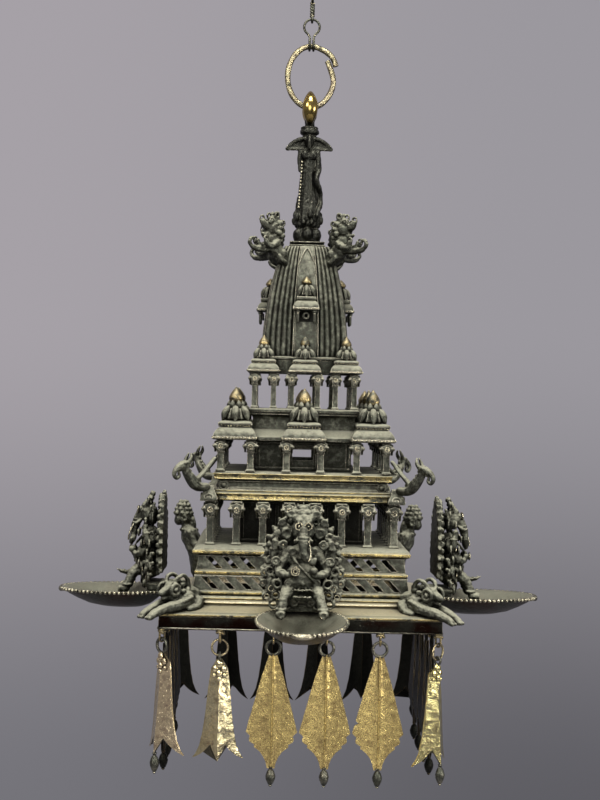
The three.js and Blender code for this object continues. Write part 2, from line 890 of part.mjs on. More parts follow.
// A plate with three tips, folded back along its middle, from the level of its top
function forkPlate(top) {
  const fold = Math.tan(radians(forkFold));
  const levels = [
    [forkNeck, 0],
    [forkTopHalf, 0.1],
    [forkTopHalf * 1.25, 0.27],
    [forkHalf * 0.52, 0.55],
    [forkHalf * 0.72, 0.87],
    [forkHalf, 1],
  ];
  const rings = levels.map(([half, share]) => {
    const z = top - share * forkLength;
    const front = -leafEdge / 2 - share * forkLean;
    const side = share === 0 ? front : front + fold * half;
    return [
      at(-half, side, z),
      at(0, front, z),
      at(half, side, z),
      at(half, side + leafEdge, z),
      at(0, front + leafEdge, z),
      at(-half, side + leafEdge, z),
    ];
  });
  const foot = top - forkLength;
  const notches = [-1, 1].map((hand) => {
    const outline = new THREE.Shape([
      new THREE.Vector2(hand * forkHalf * 0.07, foot - 1),
      new THREE.Vector2(hand * forkHalf * 0.93, foot - 1),
      new THREE.Vector2(hand * forkHalf * 0.42, foot + forkNotch),
    ]);
    const cut = new THREE.ExtrudeGeometry(outline, { depth: 3 * forkHalf, bevelEnabled: false });
    return solid(cut.rotateX(Math.PI / 2).translate(0, 2 * forkHalf, 0));
  });
  return loft(rings).subtract(join(notches));
}

// A drop finial under the middle tip of a forked plate
function forkFinial(foot) {
  return finial(foot).translate([0, -forkLean, 0]);
}

// A forked leaf under its eye, with or without a finial
function makeFork(withFinial) {
  const top = -2 * pendantEyeRadius + pendantEyeWire * 0.75;
  const plate = join(pendantEye(), forkPlate(top));
  return withFinial ? join(plate, forkFinial(top - forkLength)) : plate;
}

// A forked leaf under a small bail that hangs on a wire ring. Its pivot is the ring's lowest wire.
function makeRingedFork(withFinial) {
  const bailZ = wireRingWire + seatGap + bailWire - bailRadius;
  const bail = solid(
    new THREE.TorusGeometry(bailRadius, bailWire, 4, 8).rotateY(Math.PI / 2).translate(0, 0, bailZ),
  );
  const top = bailZ - bailRadius + 0.8;
  const plate = join(bail, forkPlate(top));
  return withFinial ? join(plate, forkFinial(top - forkLength)) : plate;
}

function makeWireRing() {
  const loop = new THREE.TorusGeometry(wireRingRadius, wireRingWire, 4, 12);
  return solid(loop.rotateX(Math.PI / 2).translate(0, 0, -wireRingRadius));
}

// Dishes

// The leaf outline of a dish, its tip outwards, scaled about the middle of its bowl
function dishOutline(scale, z, reach, half) {
  const back = baseHalf + rimLip + seatGap;
  const middle = (reach + back) / 2;
  const count = 12;
  const bowl = middle - (reach - back) * 0.06;
  return Array.from({ length: count }, (_, i) => {
    const turn = (2 * Math.PI * i) / count;
    const out = middle + ((reach - back) / 2) * Math.cos(turn);
    const across = (half / 0.77) * Math.sin(turn) * Math.abs(Math.sin(turn / 2));
    return at(across * scale, -(bowl + (out - bowl) * scale), z);
  });
}

function makeDish() {
  const outside = [
    [0.55, -dishDepth],
    [0.88, -dishDepth * 0.55],
    [1, 0],
  ];
  const shell = loft(outside.map(([scale, z]) => dishOutline(scale, dishRimZ + z, dishReach, dishHalf)));
  const inset = (dishHalf - dishWall) / dishHalf;
  const bowl = loft(
    outside.map(([scale, z], i) => {
      const raised = i === outside.length - 1 ? 1 : dishWall;
      return dishOutline(scale * inset, dishRimZ + z + raised, dishReach, dishHalf);
    }),
  );
  return shell.subtract(bowl);
}

// Figures, made facing the front

// Flame-edged plate behind a seated figure
function aureole(y, footZ) {
  const lobes = 10;
  const perLobe = 2;
  const outline = [];
  for (let i = 0; i <= lobes * perLobe; i++) {
    const turn = radians(-125 + (250 * i) / (lobes * perLobe));
    const flame = i % perLobe === 1 ? 1.07 : 0.94;
    const taper = 1 - 0.28 * Math.max(0, Math.cos(turn)) ** 2;
    const x = auraHalf * flame * Math.sin(turn) * taper;
    const z = auraHeight * (0.44 + 0.52 * flame * Math.cos(turn));
    outline.push(new THREE.Vector2(x, z));
  }
  const shape = new THREE.Shape(outline);
  const plate = new THREE.ExtrudeGeometry(shape, { depth: auraThick, bevelEnabled: false });
  return solid(plate.rotateX(Math.PI / 2).translate(0, y + auraThick, footZ));
}

// A seated figure with an elephant's head, four arms and a small leaf lamp held in front
function makeDeity() {
  const footZ = dishRimZ + seatGap;
  const back = -(baseHalf + 3);
  const seat = (x, out, up) => at(x, -out, up);
  const base = join(
    block(24, 17.5, footZ, footZ + 7, 0, back - 8.5),
    block(20, 9, slopeZ - 4, footZ + 7, 0, 9 - baseHalf - rimLip),
  );
  const trunk = limb(
    [
      [seat(0, 27, 66), 5],
      [seat(1, 31, 55), 4],
      [seat(5, 30, 46), 3.4],
      [seat(10, 28, 44), 2.6],
    ],
    4,
  );
  const upperArm = (hand) => [
    [seat(hand * 10, 14, 54), 5],
    [seat(hand * 25, 15, 48), 4],
    [seat(hand * 27, 18, 64), 2.6],
  ];
  const lowerArm = (hand) => [
    [seat(hand * 10, 15, 50), 4.4],
    [seat(hand * 20, 21, 34), 3.6],
    [seat(hand * 8, 29, 33), 3],
  ];
  const leg = (hand) => [
    [seat(hand * 6, 16, 16), 9],
    [seat(hand * 25, 27, 12), 7],
    [seat(hand * 17, 33, 3), 3.5],
  ];
  const limbs = [-1, 1].flatMap((hand) => [
    ball(seat(hand * 14, 13, 67), [7.5, 3, 9], 5, 3),
    ...[upperArm, lowerArm, leg].map((stopsOf) => limb(stopsOf(hand), 4)),
  ]);
  const crown = [
    [seat(0, 14, 74), 8],
    [seat(0, 12, 88), 3.5],
  ];
  const torso = [
    ball(seat(0, 18, 30), [17, 13, 16]),
    ball(seat(0, 14, 47), [14, 10, 13]),
    ball(seat(0, 17, 67), [11, 10, 11]),
    limb(crown),
  ];
  const lampLeaf = loft(
    [-1, 1].map((end) => [
      seat(0, 46, 15 + end * 1.4),
      seat(-6.5, 32, 15 + end * 1.4),
      seat(0, 22, 15 + end * 1.4),
      seat(6.5, 32, 15 + end * 1.4),
    ]),
  );
  const figure = placed(join(trunk, limbs, torso, lampLeaf), auraHeight / 92, 0, back, footZ);
  return join(aureole(back - 6, footZ + 2), base, figure).subtract(trayRoom());
}

// A rearing lion at the spire's corner, with a curled paw held out
function makeSpireLion() {
  const corner = spireHalfAt(0.1) * Math.SQRT2;
  const seat = (across, out, up) => at(across, -out, up);
  const body = limb([
    [seat(0, -6, -10), 6],
    [seat(0, 9, 3), 7.5],
    [seat(0, 15, 18), 7],
  ]);
  const head = ball(seat(0, 15, 29), [9, 9.5, 10.5]);
  const snout = limb([
    [seat(0, 19, 28), 6],
    [seat(0, 27, 25), 3.6],
  ]);
  const paired = [-1, 1].flatMap((hand) => {
    const ear = [
      [seat(hand * 6, 15, 36), 3],
      [seat(hand * 8, 14, 43), 1.2],
    ];
    const paw = [
      [seat(hand * 5, 12, 10), 3.6],
      [seat(hand * 7, 24, 3), 2.8],
    ];
    return [limb(ear, 4), limb(paw, 4)];
  });
  const curl = limb(
    [
      [seat(0, 12, 4), 4],
      [seat(0, 26, 1), 3],
      [seat(0, 36, 3), 2.6],
      [seat(0, 39, 10), 2.2],
      [seat(0, 32, 13), 1.6],
    ],
    4,
  );
  const whole = join(body, head, snout, paired, curl);
  const lion = placed(whole, lionReach / 40, 0, -corner, spireZ - spireHeight * 0.1);
  return lion.subtract(rotated(spireRoom(0), 45));
}

// A makara that rises outwards from the cornice's corner, with a curled snout and a strut to the column
function makeMakara() {
  const corner = (cornerBlockAt + cornerBlockHalf) * Math.SQRT2;
  const seat = (across, out, up) => at(across, -out, up);
  const neck = limb([
    [seat(0, -6, -6), 7],
    [seat(0, 6, -4), 6.5],
    [seat(0, 18, 6), 6],
    [seat(0, 25, 16), 6],
  ]);
  const head = limb([
    [seat(0, 24, 16), 7],
    [seat(0, 36, 19), 4.6],
  ]);
  const horn = limb(
    [
      [seat(0, 22, 20), 4.5],
      [seat(0, 17, 36), 1.4],
    ],
    4,
  );
  const strut = limb(
    [
      [seat(-3, 12, 2), 2.6],
      [seat(0, -23, 28), 2.2],
    ],
    4,
  );
  const snout = limb(
    [
      [seat(0, 34, 19), 3.6],
      [seat(0, 44, 19), 2.6],
      [seat(0, 48, 12), 2.3],
      [seat(0, 43, 6), 2],
      [seat(0, 37, 9), 1.6],
    ],
    4,
  );
  const ledgeRoom = squareStack([
    [ledgeHalf + 1 + seatGap, ledgeZ - ledgeHeight - 2 * seatGap],
    [ledgeHalf + 1 + seatGap, ledgeZ + seatGap],
  ]);
  const blockRoom = block(
    cornerBlockHalf + seatGap,
    cornerBlockHalf + seatGap,
    corniceFootZ - seatGap,
    corniceTopZ + seatGap,
    cornerBlockAt,
    -cornerBlockAt,
  );
  const columnAt = Math.max(...middleColumnOffsets);
  const columnRoom = block(
    middleColumnHalf * 1.75 + seatGap,
    middleColumnHalf * 1.75 + seatGap,
    ledgeZ - 1,
    middleColumnZ + 1,
    columnAt,
    -columnAt,
  );
  const room = join(ledgeRoom, blockRoom, columnRoom);
  const whole = join(neck, head, horn, strut, snout);
  return placed(whole, makaraReach / 48, 0, -corner, corniceTopZ).subtract(rotated(room, -45));
}

// A lion crouching on the base's corner, its forelegs stretched down over the rim. It fills the deck between
// the tiers' corner and the base's corner, so its places along the diagonal are shares of that deck.
function makeCornerLion() {
  const corner = baseHalf * Math.SQRT2;
  const deck = corner - (tierTopHalf + 2 * tierFlare) * Math.SQRT2;
  const size = pawReach / 20;
  const seat = (across, inward, up) => at(across * size, inward * deck - corner, rimZ + up * size);
  const paw = (hand) => at(hand * 5 * size, -(corner + pawReach * 0.6), rimZ - 2 * size);
  const body = ball(seat(0, 0.82, 14), [14 * size, 14 * size, 11 * size]);
  const head = ball(seat(0, 0.65, 24), [10 * size, 10 * size, 10 * size]);
  const snout = limb([
    [seat(0, 0.54, 25), 7 * size],
    [seat(0, 0.22, 21), 4.5 * size],
  ]);
  const loop = limb(
    [
      [seat(0, 0.98, 22), 4 * size],
      [seat(0, 1.03, 38), 2.5 * size],
      [seat(0, 0.7, 41), 2.2 * size],
      [seat(0, 0.6, 29), 3 * size],
    ],
    4,
  );
  const legs = [-1, 1].flatMap((hand) => [
    ball(seat(hand * 12, 0.65, 18), [5.5 * size, 8.5 * size, 8.5 * size], 5, 4),
    limb([
      [seat(hand * 11, 0.65, 12), 6.5 * size],
      [seat(hand * 7, 0.05, 5), 5 * size],
      [paw(hand), 3.6 * size],
    ]),
  ]);
  return join(body, head, snout, loop, legs).subtract(rotated(cornerRoom(), -45));
}

// The base and both tiers as filled blocks, grown by the clearance
function cornerRoom() {
  const tierHalf = tierTopHalf + 2 * tierFlare + seatGap;
  return join(
    trayRoom(),
    squareStack([
      [tierHalf, trayZ - 1],
      [tierHalf, upperTierZ + seatGap],
    ]),
    squareStack([
      [slabHalf + seatGap, slabZ - slabHeight - seatGap],
      [slabHalf + seatGap, slabZ + seatGap],
    ]),
  );
}

// A standing attendant at a rear corner of the tiers, leaning in with both hands. Hand is 1 for the right.
function makeAttendant(hand) {
  const stand = tierTopHalf + 2 * tierFlare;
  const seat = (across, out, up) => at(hand * across, out, up);
  const body = limb([
    [seat(3, 8, 0), 8],
    [seat(5, 4, 20), 8],
    [seat(14, 5, 40), 8.5],
    [seat(19, 6, 54), 4],
  ]);
  const head = ball(seat(20, 6, 59), [7.5, 8, 9]);
  const crown = limb([
    [seat(21, 6, 62), 8],
    [seat(23, 6, 72), 5],
  ]);
  const nearArm = [
    [seat(10, 0, 42), 3.8],
    [seat(4, -3, 28), 3],
    [seat(-4, -7, 32), 2.6],
  ];
  const farArm = [
    [seat(18, 4, 42), 3.8],
    [seat(10, -4, 26), 3],
    [seat(2, -12, 31), 2.6],
  ];
  const whole = join(body, head, crown, limb(nearArm, 4), limb(farArm, 4));
  const size = attendantHeight / 72;
  return placed(whole, size, hand * (stand - 1), stand + 5, slopeZ + 2).subtract(cornerRoom());
}

// Assembly

addPiece("ceiling_hook", makeHook(), wornBrass);
addPiece("chain_link_upper", makeUpperLink(), wornBrass);
addPiece("chain_link_lower", makeLowerLink(), wornBrass);
addPiece("suspension_ring", makeRing(), brightBrass);
addPiece("hanger_figure", makeHanger(), darkBronze);
addPiece("spire_tower", makeSpire(), darkBronze);
addPiece("upper_roof", makeUpperRoof(), darkBronze);
addPiece("upper_gallery", makeUpperGallery(), darkBronze);
addPiece("middle_roof", makeMiddleRoof(), darkBronze);
addPiece("middle_gallery", makeMiddleGallery(), wornBrass);
addPiece(
  "middle_cella",
  makeCella(middleCellaHalf, middleDoorHalf, ledgeZ + seatGap, middleColumnZ),
  darkBronze,
);
addPiece("cornice", makeCornice(), darkBronze);
addPiece("lower_gallery", makeLowerGallery(), darkBronze);
addPiece("lower_cella", makeCella(lowerCellaHalf, lowerDoorHalf, slabZ + seatGap, lowerColumnZ), darkBronze);
addPiece("plinth_tier_upper", makeTier(tierTopHalf, upperTierZ, upperSlotsPerHalf), darkBronze);
const lowerTier = makeTier(tierTopHalf + tierFlare, lowerTierZ, lowerSlotsPerHalf);
addPiece("plinth_tier_lower", lowerTier, darkBronze);
addPiece("base_tray", makeBaseTray(), darkBronze);

const sideNames = ["front", "right", "rear", "left"];
const cornerNames = ["front_right", "rear_right", "rear_left", "front_left"];
const lion = makeSpireLion();
const makara = makeMakara();
const cornerLion = makeCornerLion();
const deity = makeDeity();
const dish = makeDish();
sideNames.forEach((side, s) => {
  const facing = turnedGroup(90 * s);
  addPiece(`oil_dish_${side}`, dish, darkBronze, facing);
  addPiece(`deity_${side}`, deity, darkBronze, facing);
});
cornerNames.forEach((corner, c) => {
  const facing = turnedGroup(45 + 90 * c);
  addPiece(`spire_lion_${corner}`, lion, darkBronze, facing);
  addPiece(`makara_${corner}`, makara, darkBronze, facing);
  if (corner.startsWith("front")) addPiece(`base_lion_${corner}`, cornerLion, darkBronze, facing);
});
addPiece("attendant_rear_right", makeAttendant(1), darkBronze);
addPiece("attendant_rear_left", makeAttendant(-1), darkBronze);

const leaf = makeLeaf();
const fork = makeFork(true);
const rearFork = makeFork(false);
const ringed = { pendant_front_1: false, pendant_corner_1: true };
pendantPlaces().forEach(({ name, turn, spot }) => {
  const onRing = name in ringed;
  const drop = onRing ? 2 * wireRingRadius : 0;
  let body = leaf;
  if (name.startsWith("pendant_corner")) body = fork;
  if (name.startsWith("pendant_rear")) body = rearFork;
  if (onRing) body = makeRingedFork(ringed[name]);
  const mesh = addPiece(name, body, leafBrass);
  mesh.position.set(spot.x, spot.y, pendantPivotZ - drop);
  mesh.rotation.z = radians(turn);
  if (!onRing) return;
  const ring = addPiece(name.replace("pendant", "wire_ring"), makeWireRing(), brightBrass);
  ring.position.set(spot.x, spot.y, pendantPivotZ);
  ring.rotation.z = radians(turn);
});

export default lamp;
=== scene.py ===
import math

import bmesh
import bpy
from mathutils import Matrix, Vector


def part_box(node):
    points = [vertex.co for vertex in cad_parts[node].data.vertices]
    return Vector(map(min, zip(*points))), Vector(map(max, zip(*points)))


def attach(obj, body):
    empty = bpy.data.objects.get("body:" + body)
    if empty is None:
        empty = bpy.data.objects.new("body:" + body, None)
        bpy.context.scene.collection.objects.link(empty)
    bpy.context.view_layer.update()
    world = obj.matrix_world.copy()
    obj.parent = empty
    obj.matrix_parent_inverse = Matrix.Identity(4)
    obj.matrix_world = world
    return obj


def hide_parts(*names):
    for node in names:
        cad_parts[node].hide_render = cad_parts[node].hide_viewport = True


bl_info = {
    "name": "Hanging Temple Lamp",
    "version": (1, 0, 0),
    "blender": (4, 5, 0),
    "location": "3D View > Sidebar > Temple Lamp",
    "description": "Builds a cast hanging temple lamp piece by piece around its fixed frame",
    "category": "Object",
}

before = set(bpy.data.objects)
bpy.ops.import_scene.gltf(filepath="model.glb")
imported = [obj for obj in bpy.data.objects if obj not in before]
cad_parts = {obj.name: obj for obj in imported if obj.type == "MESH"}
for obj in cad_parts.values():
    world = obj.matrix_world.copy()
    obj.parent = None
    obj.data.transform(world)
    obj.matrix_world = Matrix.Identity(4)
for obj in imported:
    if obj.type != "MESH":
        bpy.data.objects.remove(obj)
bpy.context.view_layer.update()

MM = 0.001
SIDES = ("front", "right", "rear", "left")
CORNERS = ("front_right", "rear_right", "rear_left", "front_left")
HANDS = (-1, 1)
SQUARE = ((-1, -1), (1, -1), (1, 1), (-1, 1))
# Widths of the softened edges on small mouldings
FINE_EDGE = 0.25 * MM
FINEST_EDGE = 0.2 * MM


def low(node):
    """The lowest corner of a node's box, in millimetres."""
    return Vector(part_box(node)[0]) / MM


def high(node):
    """The highest corner of a node's box, in millimetres."""
    return Vector(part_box(node)[1]) / MM


# Sizes and colours that a user would change


def length(name, description, default):
    return bpy.props.FloatProperty(
        name=name, description=description, default=default, min=0.0, subtype="DISTANCE", unit="LENGTH"
    )


def colour(name, description, default):
    return bpy.props.FloatVectorProperty(
        name=name, description=description, default=default, size=3, min=0.0, max=1.0, subtype="COLOR"
    )


def share(name, description, default):
    return bpy.props.FloatProperty(
        name=name, description=description, default=default, min=0.0, max=1.0, subtype="FACTOR"
    )


class LampFinish(bpy.types.PropertyGroup):
    """Colours of the lamp's metals, their dust, bare metal and painted highlights"""

    bronze: colour("Bronze", "Dark patina of the cast bronze", (0.05, 0.049, 0.038))
    bronze_green: colour("Green bronze", "Greener patches of the patina", (0.085, 0.092, 0.07))
    dust: colour("Dust", "Dust on upward faces", (0.37, 0.36, 0.26))
    # Glint: bare metal on the castings' edges, and also the colour of the painted highlights along edges and
    # in specks
    glint: colour("Glint", "Bare metal on the highest edges of the castings", (0.78, 0.72, 0.54))
    brass: colour("Brass", "Brass where the patina is rubbed off", (0.66, 0.5, 0.22))
    leaf: colour("Leaf brass", "Ochre brass of the pendants", (0.95, 0.73, 0.27))
    pale_leaf: colour("Pale leaf brass", "Bright brass of the polished front pendant", (0.88, 0.77, 0.44))
    rust: colour("Rust", "Red brown stain on the apron", (0.13, 0.045, 0.028))
    # How far bare metal and painted highlights show along the edges and as specks
    wear_and_glint: share("Wear", "How far bare metal shows along the edges", 0.9)
    dusting: share("Dusting", "How thick the dust lies", 0.9)


class LampSizes(bpy.types.PropertyGroup):
    """Sizes of the cast detail"""

    voxel: length("Figure detail", "Finest detail kept in the cast figures", 0.8 * MM)
    bead: length("Bead", "Radius of the beads on rims and eaves", 1.3 * MM)
    edge: length("Edge", "Width of the softened edges", 0.35 * MM)


class LampStage(bpy.types.PropertyGroup):
    """Camera, lamps and ground"""

    distance: length("Distance", "Distance from the camera to the lamp's axis", 1.4)
    lens: bpy.props.FloatProperty(
        name="Lens", description="Focal length of the camera", default=66.0, min=1.0
    )
    roll: bpy.props.FloatProperty(
        name="Roll", description="Roll of the camera", default=math.radians(-1.35), subtype="ANGLE",
        unit="ROTATION"
    )
    ground: colour("Ground", "Colour of the floor", (0.5, 0.48, 0.52))
    air_high_left: colour("Air, high left", "Colour behind the lamp, high on the left", (0.381, 0.356, 0.386))
    air_high_right: colour(
        "Air, high right", "Colour behind the lamp, high on the right", (0.328, 0.314, 0.342)
    )
    air_low_left: colour("Air, low left", "Colour behind the lamp, low on the left", (0.178, 0.175, 0.195))
    air_low_right: colour("Air, low right", "Colour behind the lamp, low on the right", (0.112, 0.11, 0.124))


def finish():
    return bpy.context.scene.lamp_finish


def sizes():
    return bpy.context.scene.lamp_sizes


# Mesh building, in millimetres


def circle(count):
    """Angles at even steps once round."""
    return [2 * math.pi * i / count for i in range(count)]


def off(half, level, *rows):
    """Half widths and levels, given as offsets from an edge and a level."""
    return [(half + a, level + b) for a, b in rows]


def scaled(profile, width, foot, height):
    """Half widths and levels, given as shares of a width and a height."""
    return [(r * width, foot + h * height) for r, h in profile]


def catmull(points, steps, looped=False):
    """A smooth row of points through the given ones; each may carry a radius as its fourth number."""
    count = len(points)
    rows = []
    for i in range(count if looped else count - 1):
        near = [points[(i + k) % count if looped else min(max(i + k, 0), count - 1)] for k in (-1, 0, 1, 2)]
        for step in range(steps):
            t = step / steps
            weights = (
                -0.5 * t + t * t - 0.5 * t**3,
                1 - 2.5 * t * t + 1.5 * t**3,
                0.5 * t + 2 * t * t - 1.5 * t**3,
                -0.5 * t * t + 0.5 * t**3,
            )
            rows.append([sum(w * p[k] for w, p in zip(weights, near)) for k in range(len(points[0]))])
    if not looped:
        rows.append(list(points[-1]))
    return rows


class Shape:
    """Points in millimetres and faces with their material slots."""

    def __init__(self):
        self.points = []
        self.faces = []
        self.slots = []

    def add(self, points, faces, slots):
        first = len(self.points)
        self.points += points
        self.faces += [[first + i for i in face] for face in faces]
        self.slots += slots
        return self

    def join(self, other, matrix=None):
        points = [matrix @ p for p in other.points] if matrix else other.points
        return self.add(points, other.faces, other.slots)

    def pushed(self, y):
        """Moves every point along Y."""
        self.points = [p + Vector((0, y, 0)) for p in self.points]
        return self

    def loft(self, rings, slot=0, looped=False):
        """A skin through rings of points, with flat ends unless it closes on itself."""
        sides, count = len(rings[0]), len(rings)
        faces = []
        for r in range(count if looped else count - 1):
            here, above = r * sides, (r + 1) % count * sides
            for i in range(sides):
                j = (i + 1) % sides
                faces.append([here + i, here + j, above + j, above + i])
        if not looped:
            faces += [list(range(sides))[::-1], [(count - 1) * sides + i for i in range(sides)]]
        return self.add([Vector(p) for ring in rings for p in ring], faces, [slot] * len(faces))

    def lathe(self, profile, sides=24, place=(0, 0), flutes=0, flute=0.0, slot=0):
        """A turned shape from radius and level pairs, with as many flutes round it."""
        rings = []
        for radius, z in profile:
            ring = []
            for turn in circle(sides):
                r = radius * (1 + flute * math.cos(flutes * turn)) if flutes else radius
                ring.append((place[0] + r * math.cos(turn), place[1] + r * math.sin(turn), z))
            rings.append(ring)
        return self.loft(rings, slot)

    def square(self, profile, place=(0, 0), slot=0, looped=False):
        """Square rings from half width and level pairs."""
        rings = []
        angles = [math.radians(45 + 90 * k) for k in range(4)]
        for half, z in profile:
            reach = half * math.sqrt(2)
            ring = [(place[0] + reach * math.cos(a), place[1] + reach * math.sin(a), z) for a in angles]
            rings.append(ring)
        return self.loft(rings, slot, looped)

    def band(self, profile, slot=0):
        """A moulding that runs round the four sides, hollow in the middle."""
        return self.square(profile, slot=slot, looped=True)

    def tube(self, path, sides=8, looped=False, slot=0, flat=1.0):
        """A round tube along points that carry their radius; flat squeezes it across its side."""
        count = len(path)
        spots = [Vector(p[:3]) for p in path]
        rings = []
        side = None
        for i, spot in enumerate(spots):
            ahead = spots[(i + 1) % count] if looped or i + 1 < count else spots[i]
            behind = spots[i - 1] if looped or i else spots[i]
            along = (ahead - behind).normalized()
            if side is None:
                side = along.cross(Vector((0, 0, 1)) if abs(along.z) < 0.9 else Vector((0, 1, 0)))
            side = (side - along * side.dot(along)).normalized()
            other = along.cross(side)
            rings.append([spot + path[i][3] * (side * math.cos(turn) + other * math.sin(turn) * flat)
                          for turn in circle(sides)])
        return self.loft(rings, slot, looped)

    def limb(self, *stops, sides=10, flat=1.0, slot=0):
        """A smooth tapering limb with round ends through x, y, z, radius stops."""
        path = catmull(stops, 4) if len(stops) > 2 else [list(s) for s in stops]
        ends = []
        for end, inner in ((path[0], path[1]), (path[-1], path[-2])):
            tip_spot = Vector(end[:3])
            out = (tip_spot - Vector(inner[:3])).normalized()
            cap = [[*(tip_spot + out * end[3] * f), end[3] * math.sqrt(1 - f * f)] for f in (0.5, 0.85, 0.98)]
            ends.append(cap)
        return self.tube(ends[0][::-1] + path + ends[1], sides, slot=slot, flat=flat)

    def ball(self, place, radii, tilt=None, sides=14, rings=9, slot=0):
        """A ball or an egg; tilt is an angle and the axis it turns about."""
        if isinstance(radii, (int, float)):
            radii = (radii, radii, radii)
        tilted = Matrix.Rotation(math.radians(tilt[0]), 3, tilt[1]) if tilt else Matrix.Identity(3)
        rows = []
        for r in range(rings + 1):
            rise = math.pi * (r + 0.02) / (rings + 0.04)
            row = [Vector((math.sin(rise) * math.cos(a), math.sin(rise) * math.sin(a), -math.cos(rise)))
                   for a in circle(sides)]
            rows.append([tilted @ Vector([c * s for c, s in zip(p, radii)]) + Vector(place) for p in row])
        return self.loft(rows, slot)

    def ring(self, place, radius, wire, axis="Y", sides=8, steps=20, slot=0):
        """A closed wire ring with its axis along X, Y or Z."""
        path = []
        for turn in circle(steps):
            a, b = radius * math.cos(turn), radius * math.sin(turn)
            spot = {"X": (0, a, b), "Y": (a, 0, b), "Z": (a, b, 0)}[axis]
            path.append([*(Vector(place) + Vector(spot)), wire])
        return self.tube(path, sides, looped=True, slot=slot)

    def block(self, place, half):
        rings = []
        for z in (-half[2], half[2]):
            rings.append([Vector((sx * half[0], sy * half[1], z)) + Vector(place) for sx, sy in SQUARE])
        return self.loft(rings)

    def plate(self, outline, thick):
        """A flat plate standing in the XZ plane from x, z pairs, facing both ways along Y."""
        return self.loft([[(x, y, z) for x, z in outline] for y in (-thick / 2, thick / 2)])

    def beads(self, path, radius, slot=0):
        for spot in path:
            Shape.ball(self, spot, radius, sides=8, rings=5, slot=slot)
        return self


class Figure(Shape):
    """A cast figure, measured across, out and up from a spot. A side of -1 puts a part on its other hand."""

    def __init__(self, spot, out=-1, up=1):
        super().__init__()
        self.spot = spot
        self.out = out
        self.up = up
        self.side = 1

    def at(self, across, out, up, *radius):
        x, y, z = self.spot
        return (x + across * self.side, y + out * self.out, z + up * self.up, *radius)

    def limb(self, *stops, **options):
        return super().limb(*[self.at(*stop) for stop in stops], **options)

    def ball(self, place, radii, tilt=None):
        if tilt:
            tilt = (tilt[0] * self.side, tilt[1])
        return super().ball(self.at(*place), radii, tilt)

    def ring(self, place, radius, wire, axis="Y", sides=6, steps=14):
        return super().ring(self.at(*place), radius, wire, axis, sides, steps)

    def lathe(self, profile, sides=24, place=(0, 0), flutes=0, flute=0.0):
        x, y = self.at(*place, 0)[:2]
        turned_profile = [(r, self.spot[2] + z * self.up) for r, z in profile]
        return super().lathe(turned_profile, sides, (x, y), flutes, flute)


def turned(degrees):
    return Matrix.Rotation(math.radians(degrees), 4, "Z")


def spread(points, gap):
    """Points at an even gap along a row of points."""
    spots = [Vector(p) for p in points]
    found = [spots[0].copy()]
    left = gap
    for a, b in zip(spots, spots[1:]):
        reach = (b - a).length
        while left <= reach:
            found.append(a.lerp(b, left / reach))
            left += gap
        left -= reach
    return found


def square_row(x, y, reach, z):
    """The corners of a level square and its first corner again."""
    return [(x + sx * reach, y + sy * reach, z) for sx, sy in (*SQUARE, SQUARE[0])]


def linked(name, data):
    """A new object in the scene."""
    thing = bpy.data.objects.new(name, data)
    bpy.context.scene.collection.objects.link(thing)
    return thing


def mesh_of(name, shape, materials):
    mesh = bpy.data.meshes.new(name)
    mesh.from_pydata([p * MM for p in shape.points], [], shape.faces)
    for material in materials:
        mesh.materials.append(material)
    mesh.polygons.foreach_set("material_index", shape.slots)
    work = bmesh.new()
    work.from_mesh(mesh)
    bmesh.ops.recalc_face_normals(work, faces=work.faces)
    work.to_mesh(mesh)
    work.free()
    return mesh


def modify(thing, kind, **settings):
    modifier = thing.modifiers.new(kind.lower(), kind)
    for key, value in settings.items():
        setattr(modifier, key, value)


def settle(thing):
    """Applies a piece's modifiers to its mesh."""
    depsgraph = bpy.context.evaluated_depsgraph_get()
    mesh = bpy.data.meshes.new_from_object(thing.evaluated_get(depsgraph))
    mesh.name = thing.name
    thing.modifiers.clear()
    thing.data = mesh


def roughcast_texture(grain):
    name = f"roughcast {grain:.1f}"
    texture = bpy.data.textures.get(name) or bpy.data.textures.new(name, "CLOUDS")
    texture.noise_scale = grain * MM
    texture.noise_depth = 2
    return texture


def cast(name, shape, metals, voxel=None, edge=None, rough=0.0, grain=5.0, sharp=38):
    """A piece from a shape: melted together at the voxel size for a figure, or with softened edges."""
    thing = linked(name, mesh_of(name, shape, [metal(kind) for kind in metals]))
    if voxel:
        modify(thing, "REMESH", mode="VOXEL", voxel_size=voxel, use_smooth_shade=True)
        modify(thing, "SMOOTH", factor=0.5, iterations=2)
    if edge:
        modify(thing, "BEVEL", width=edge, segments=2, limit_method="ANGLE", angle_limit=math.radians(sharp),
               use_clamp_overlap=True)
    if rough:
        texture = roughcast_texture(grain)
        modify(thing, "DISPLACE", texture=texture, texture_coords="LOCAL", strength=rough * MM, mid_level=0.5)
    settle(thing)
    thing.data.shade_smooth()
    if not voxel:
        thing.data.set_sharp_from_angle(angle=math.radians(sharp))
    return thing


def fit(thing, node, body="lamp"):
    """Hangs a piece on its body, in place of its node."""
    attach(thing, body)
    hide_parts(node)


def dress(node, name, shape, metals, body="lamp", slot="dark_bronze", **options):
    """Casts a piece and fits it in place of a node."""
    fit(cast(name, shape, metals, **options), node, body)


def copied(thing, name, degrees):
    """A copy of a piece, turned about the lamp's axis."""
    other = linked(name, thing.data.copy())
    other.data.transform(turned(degrees))
    return other


def repeat(pattern, places):
    """Fits copies of a pattern by rows of name, node and turn, and takes the pattern away."""
    for name, node, degrees in places:
        fit(copied(pattern, name, degrees), node)
    bpy.data.objects.remove(pattern)


# Shader maths


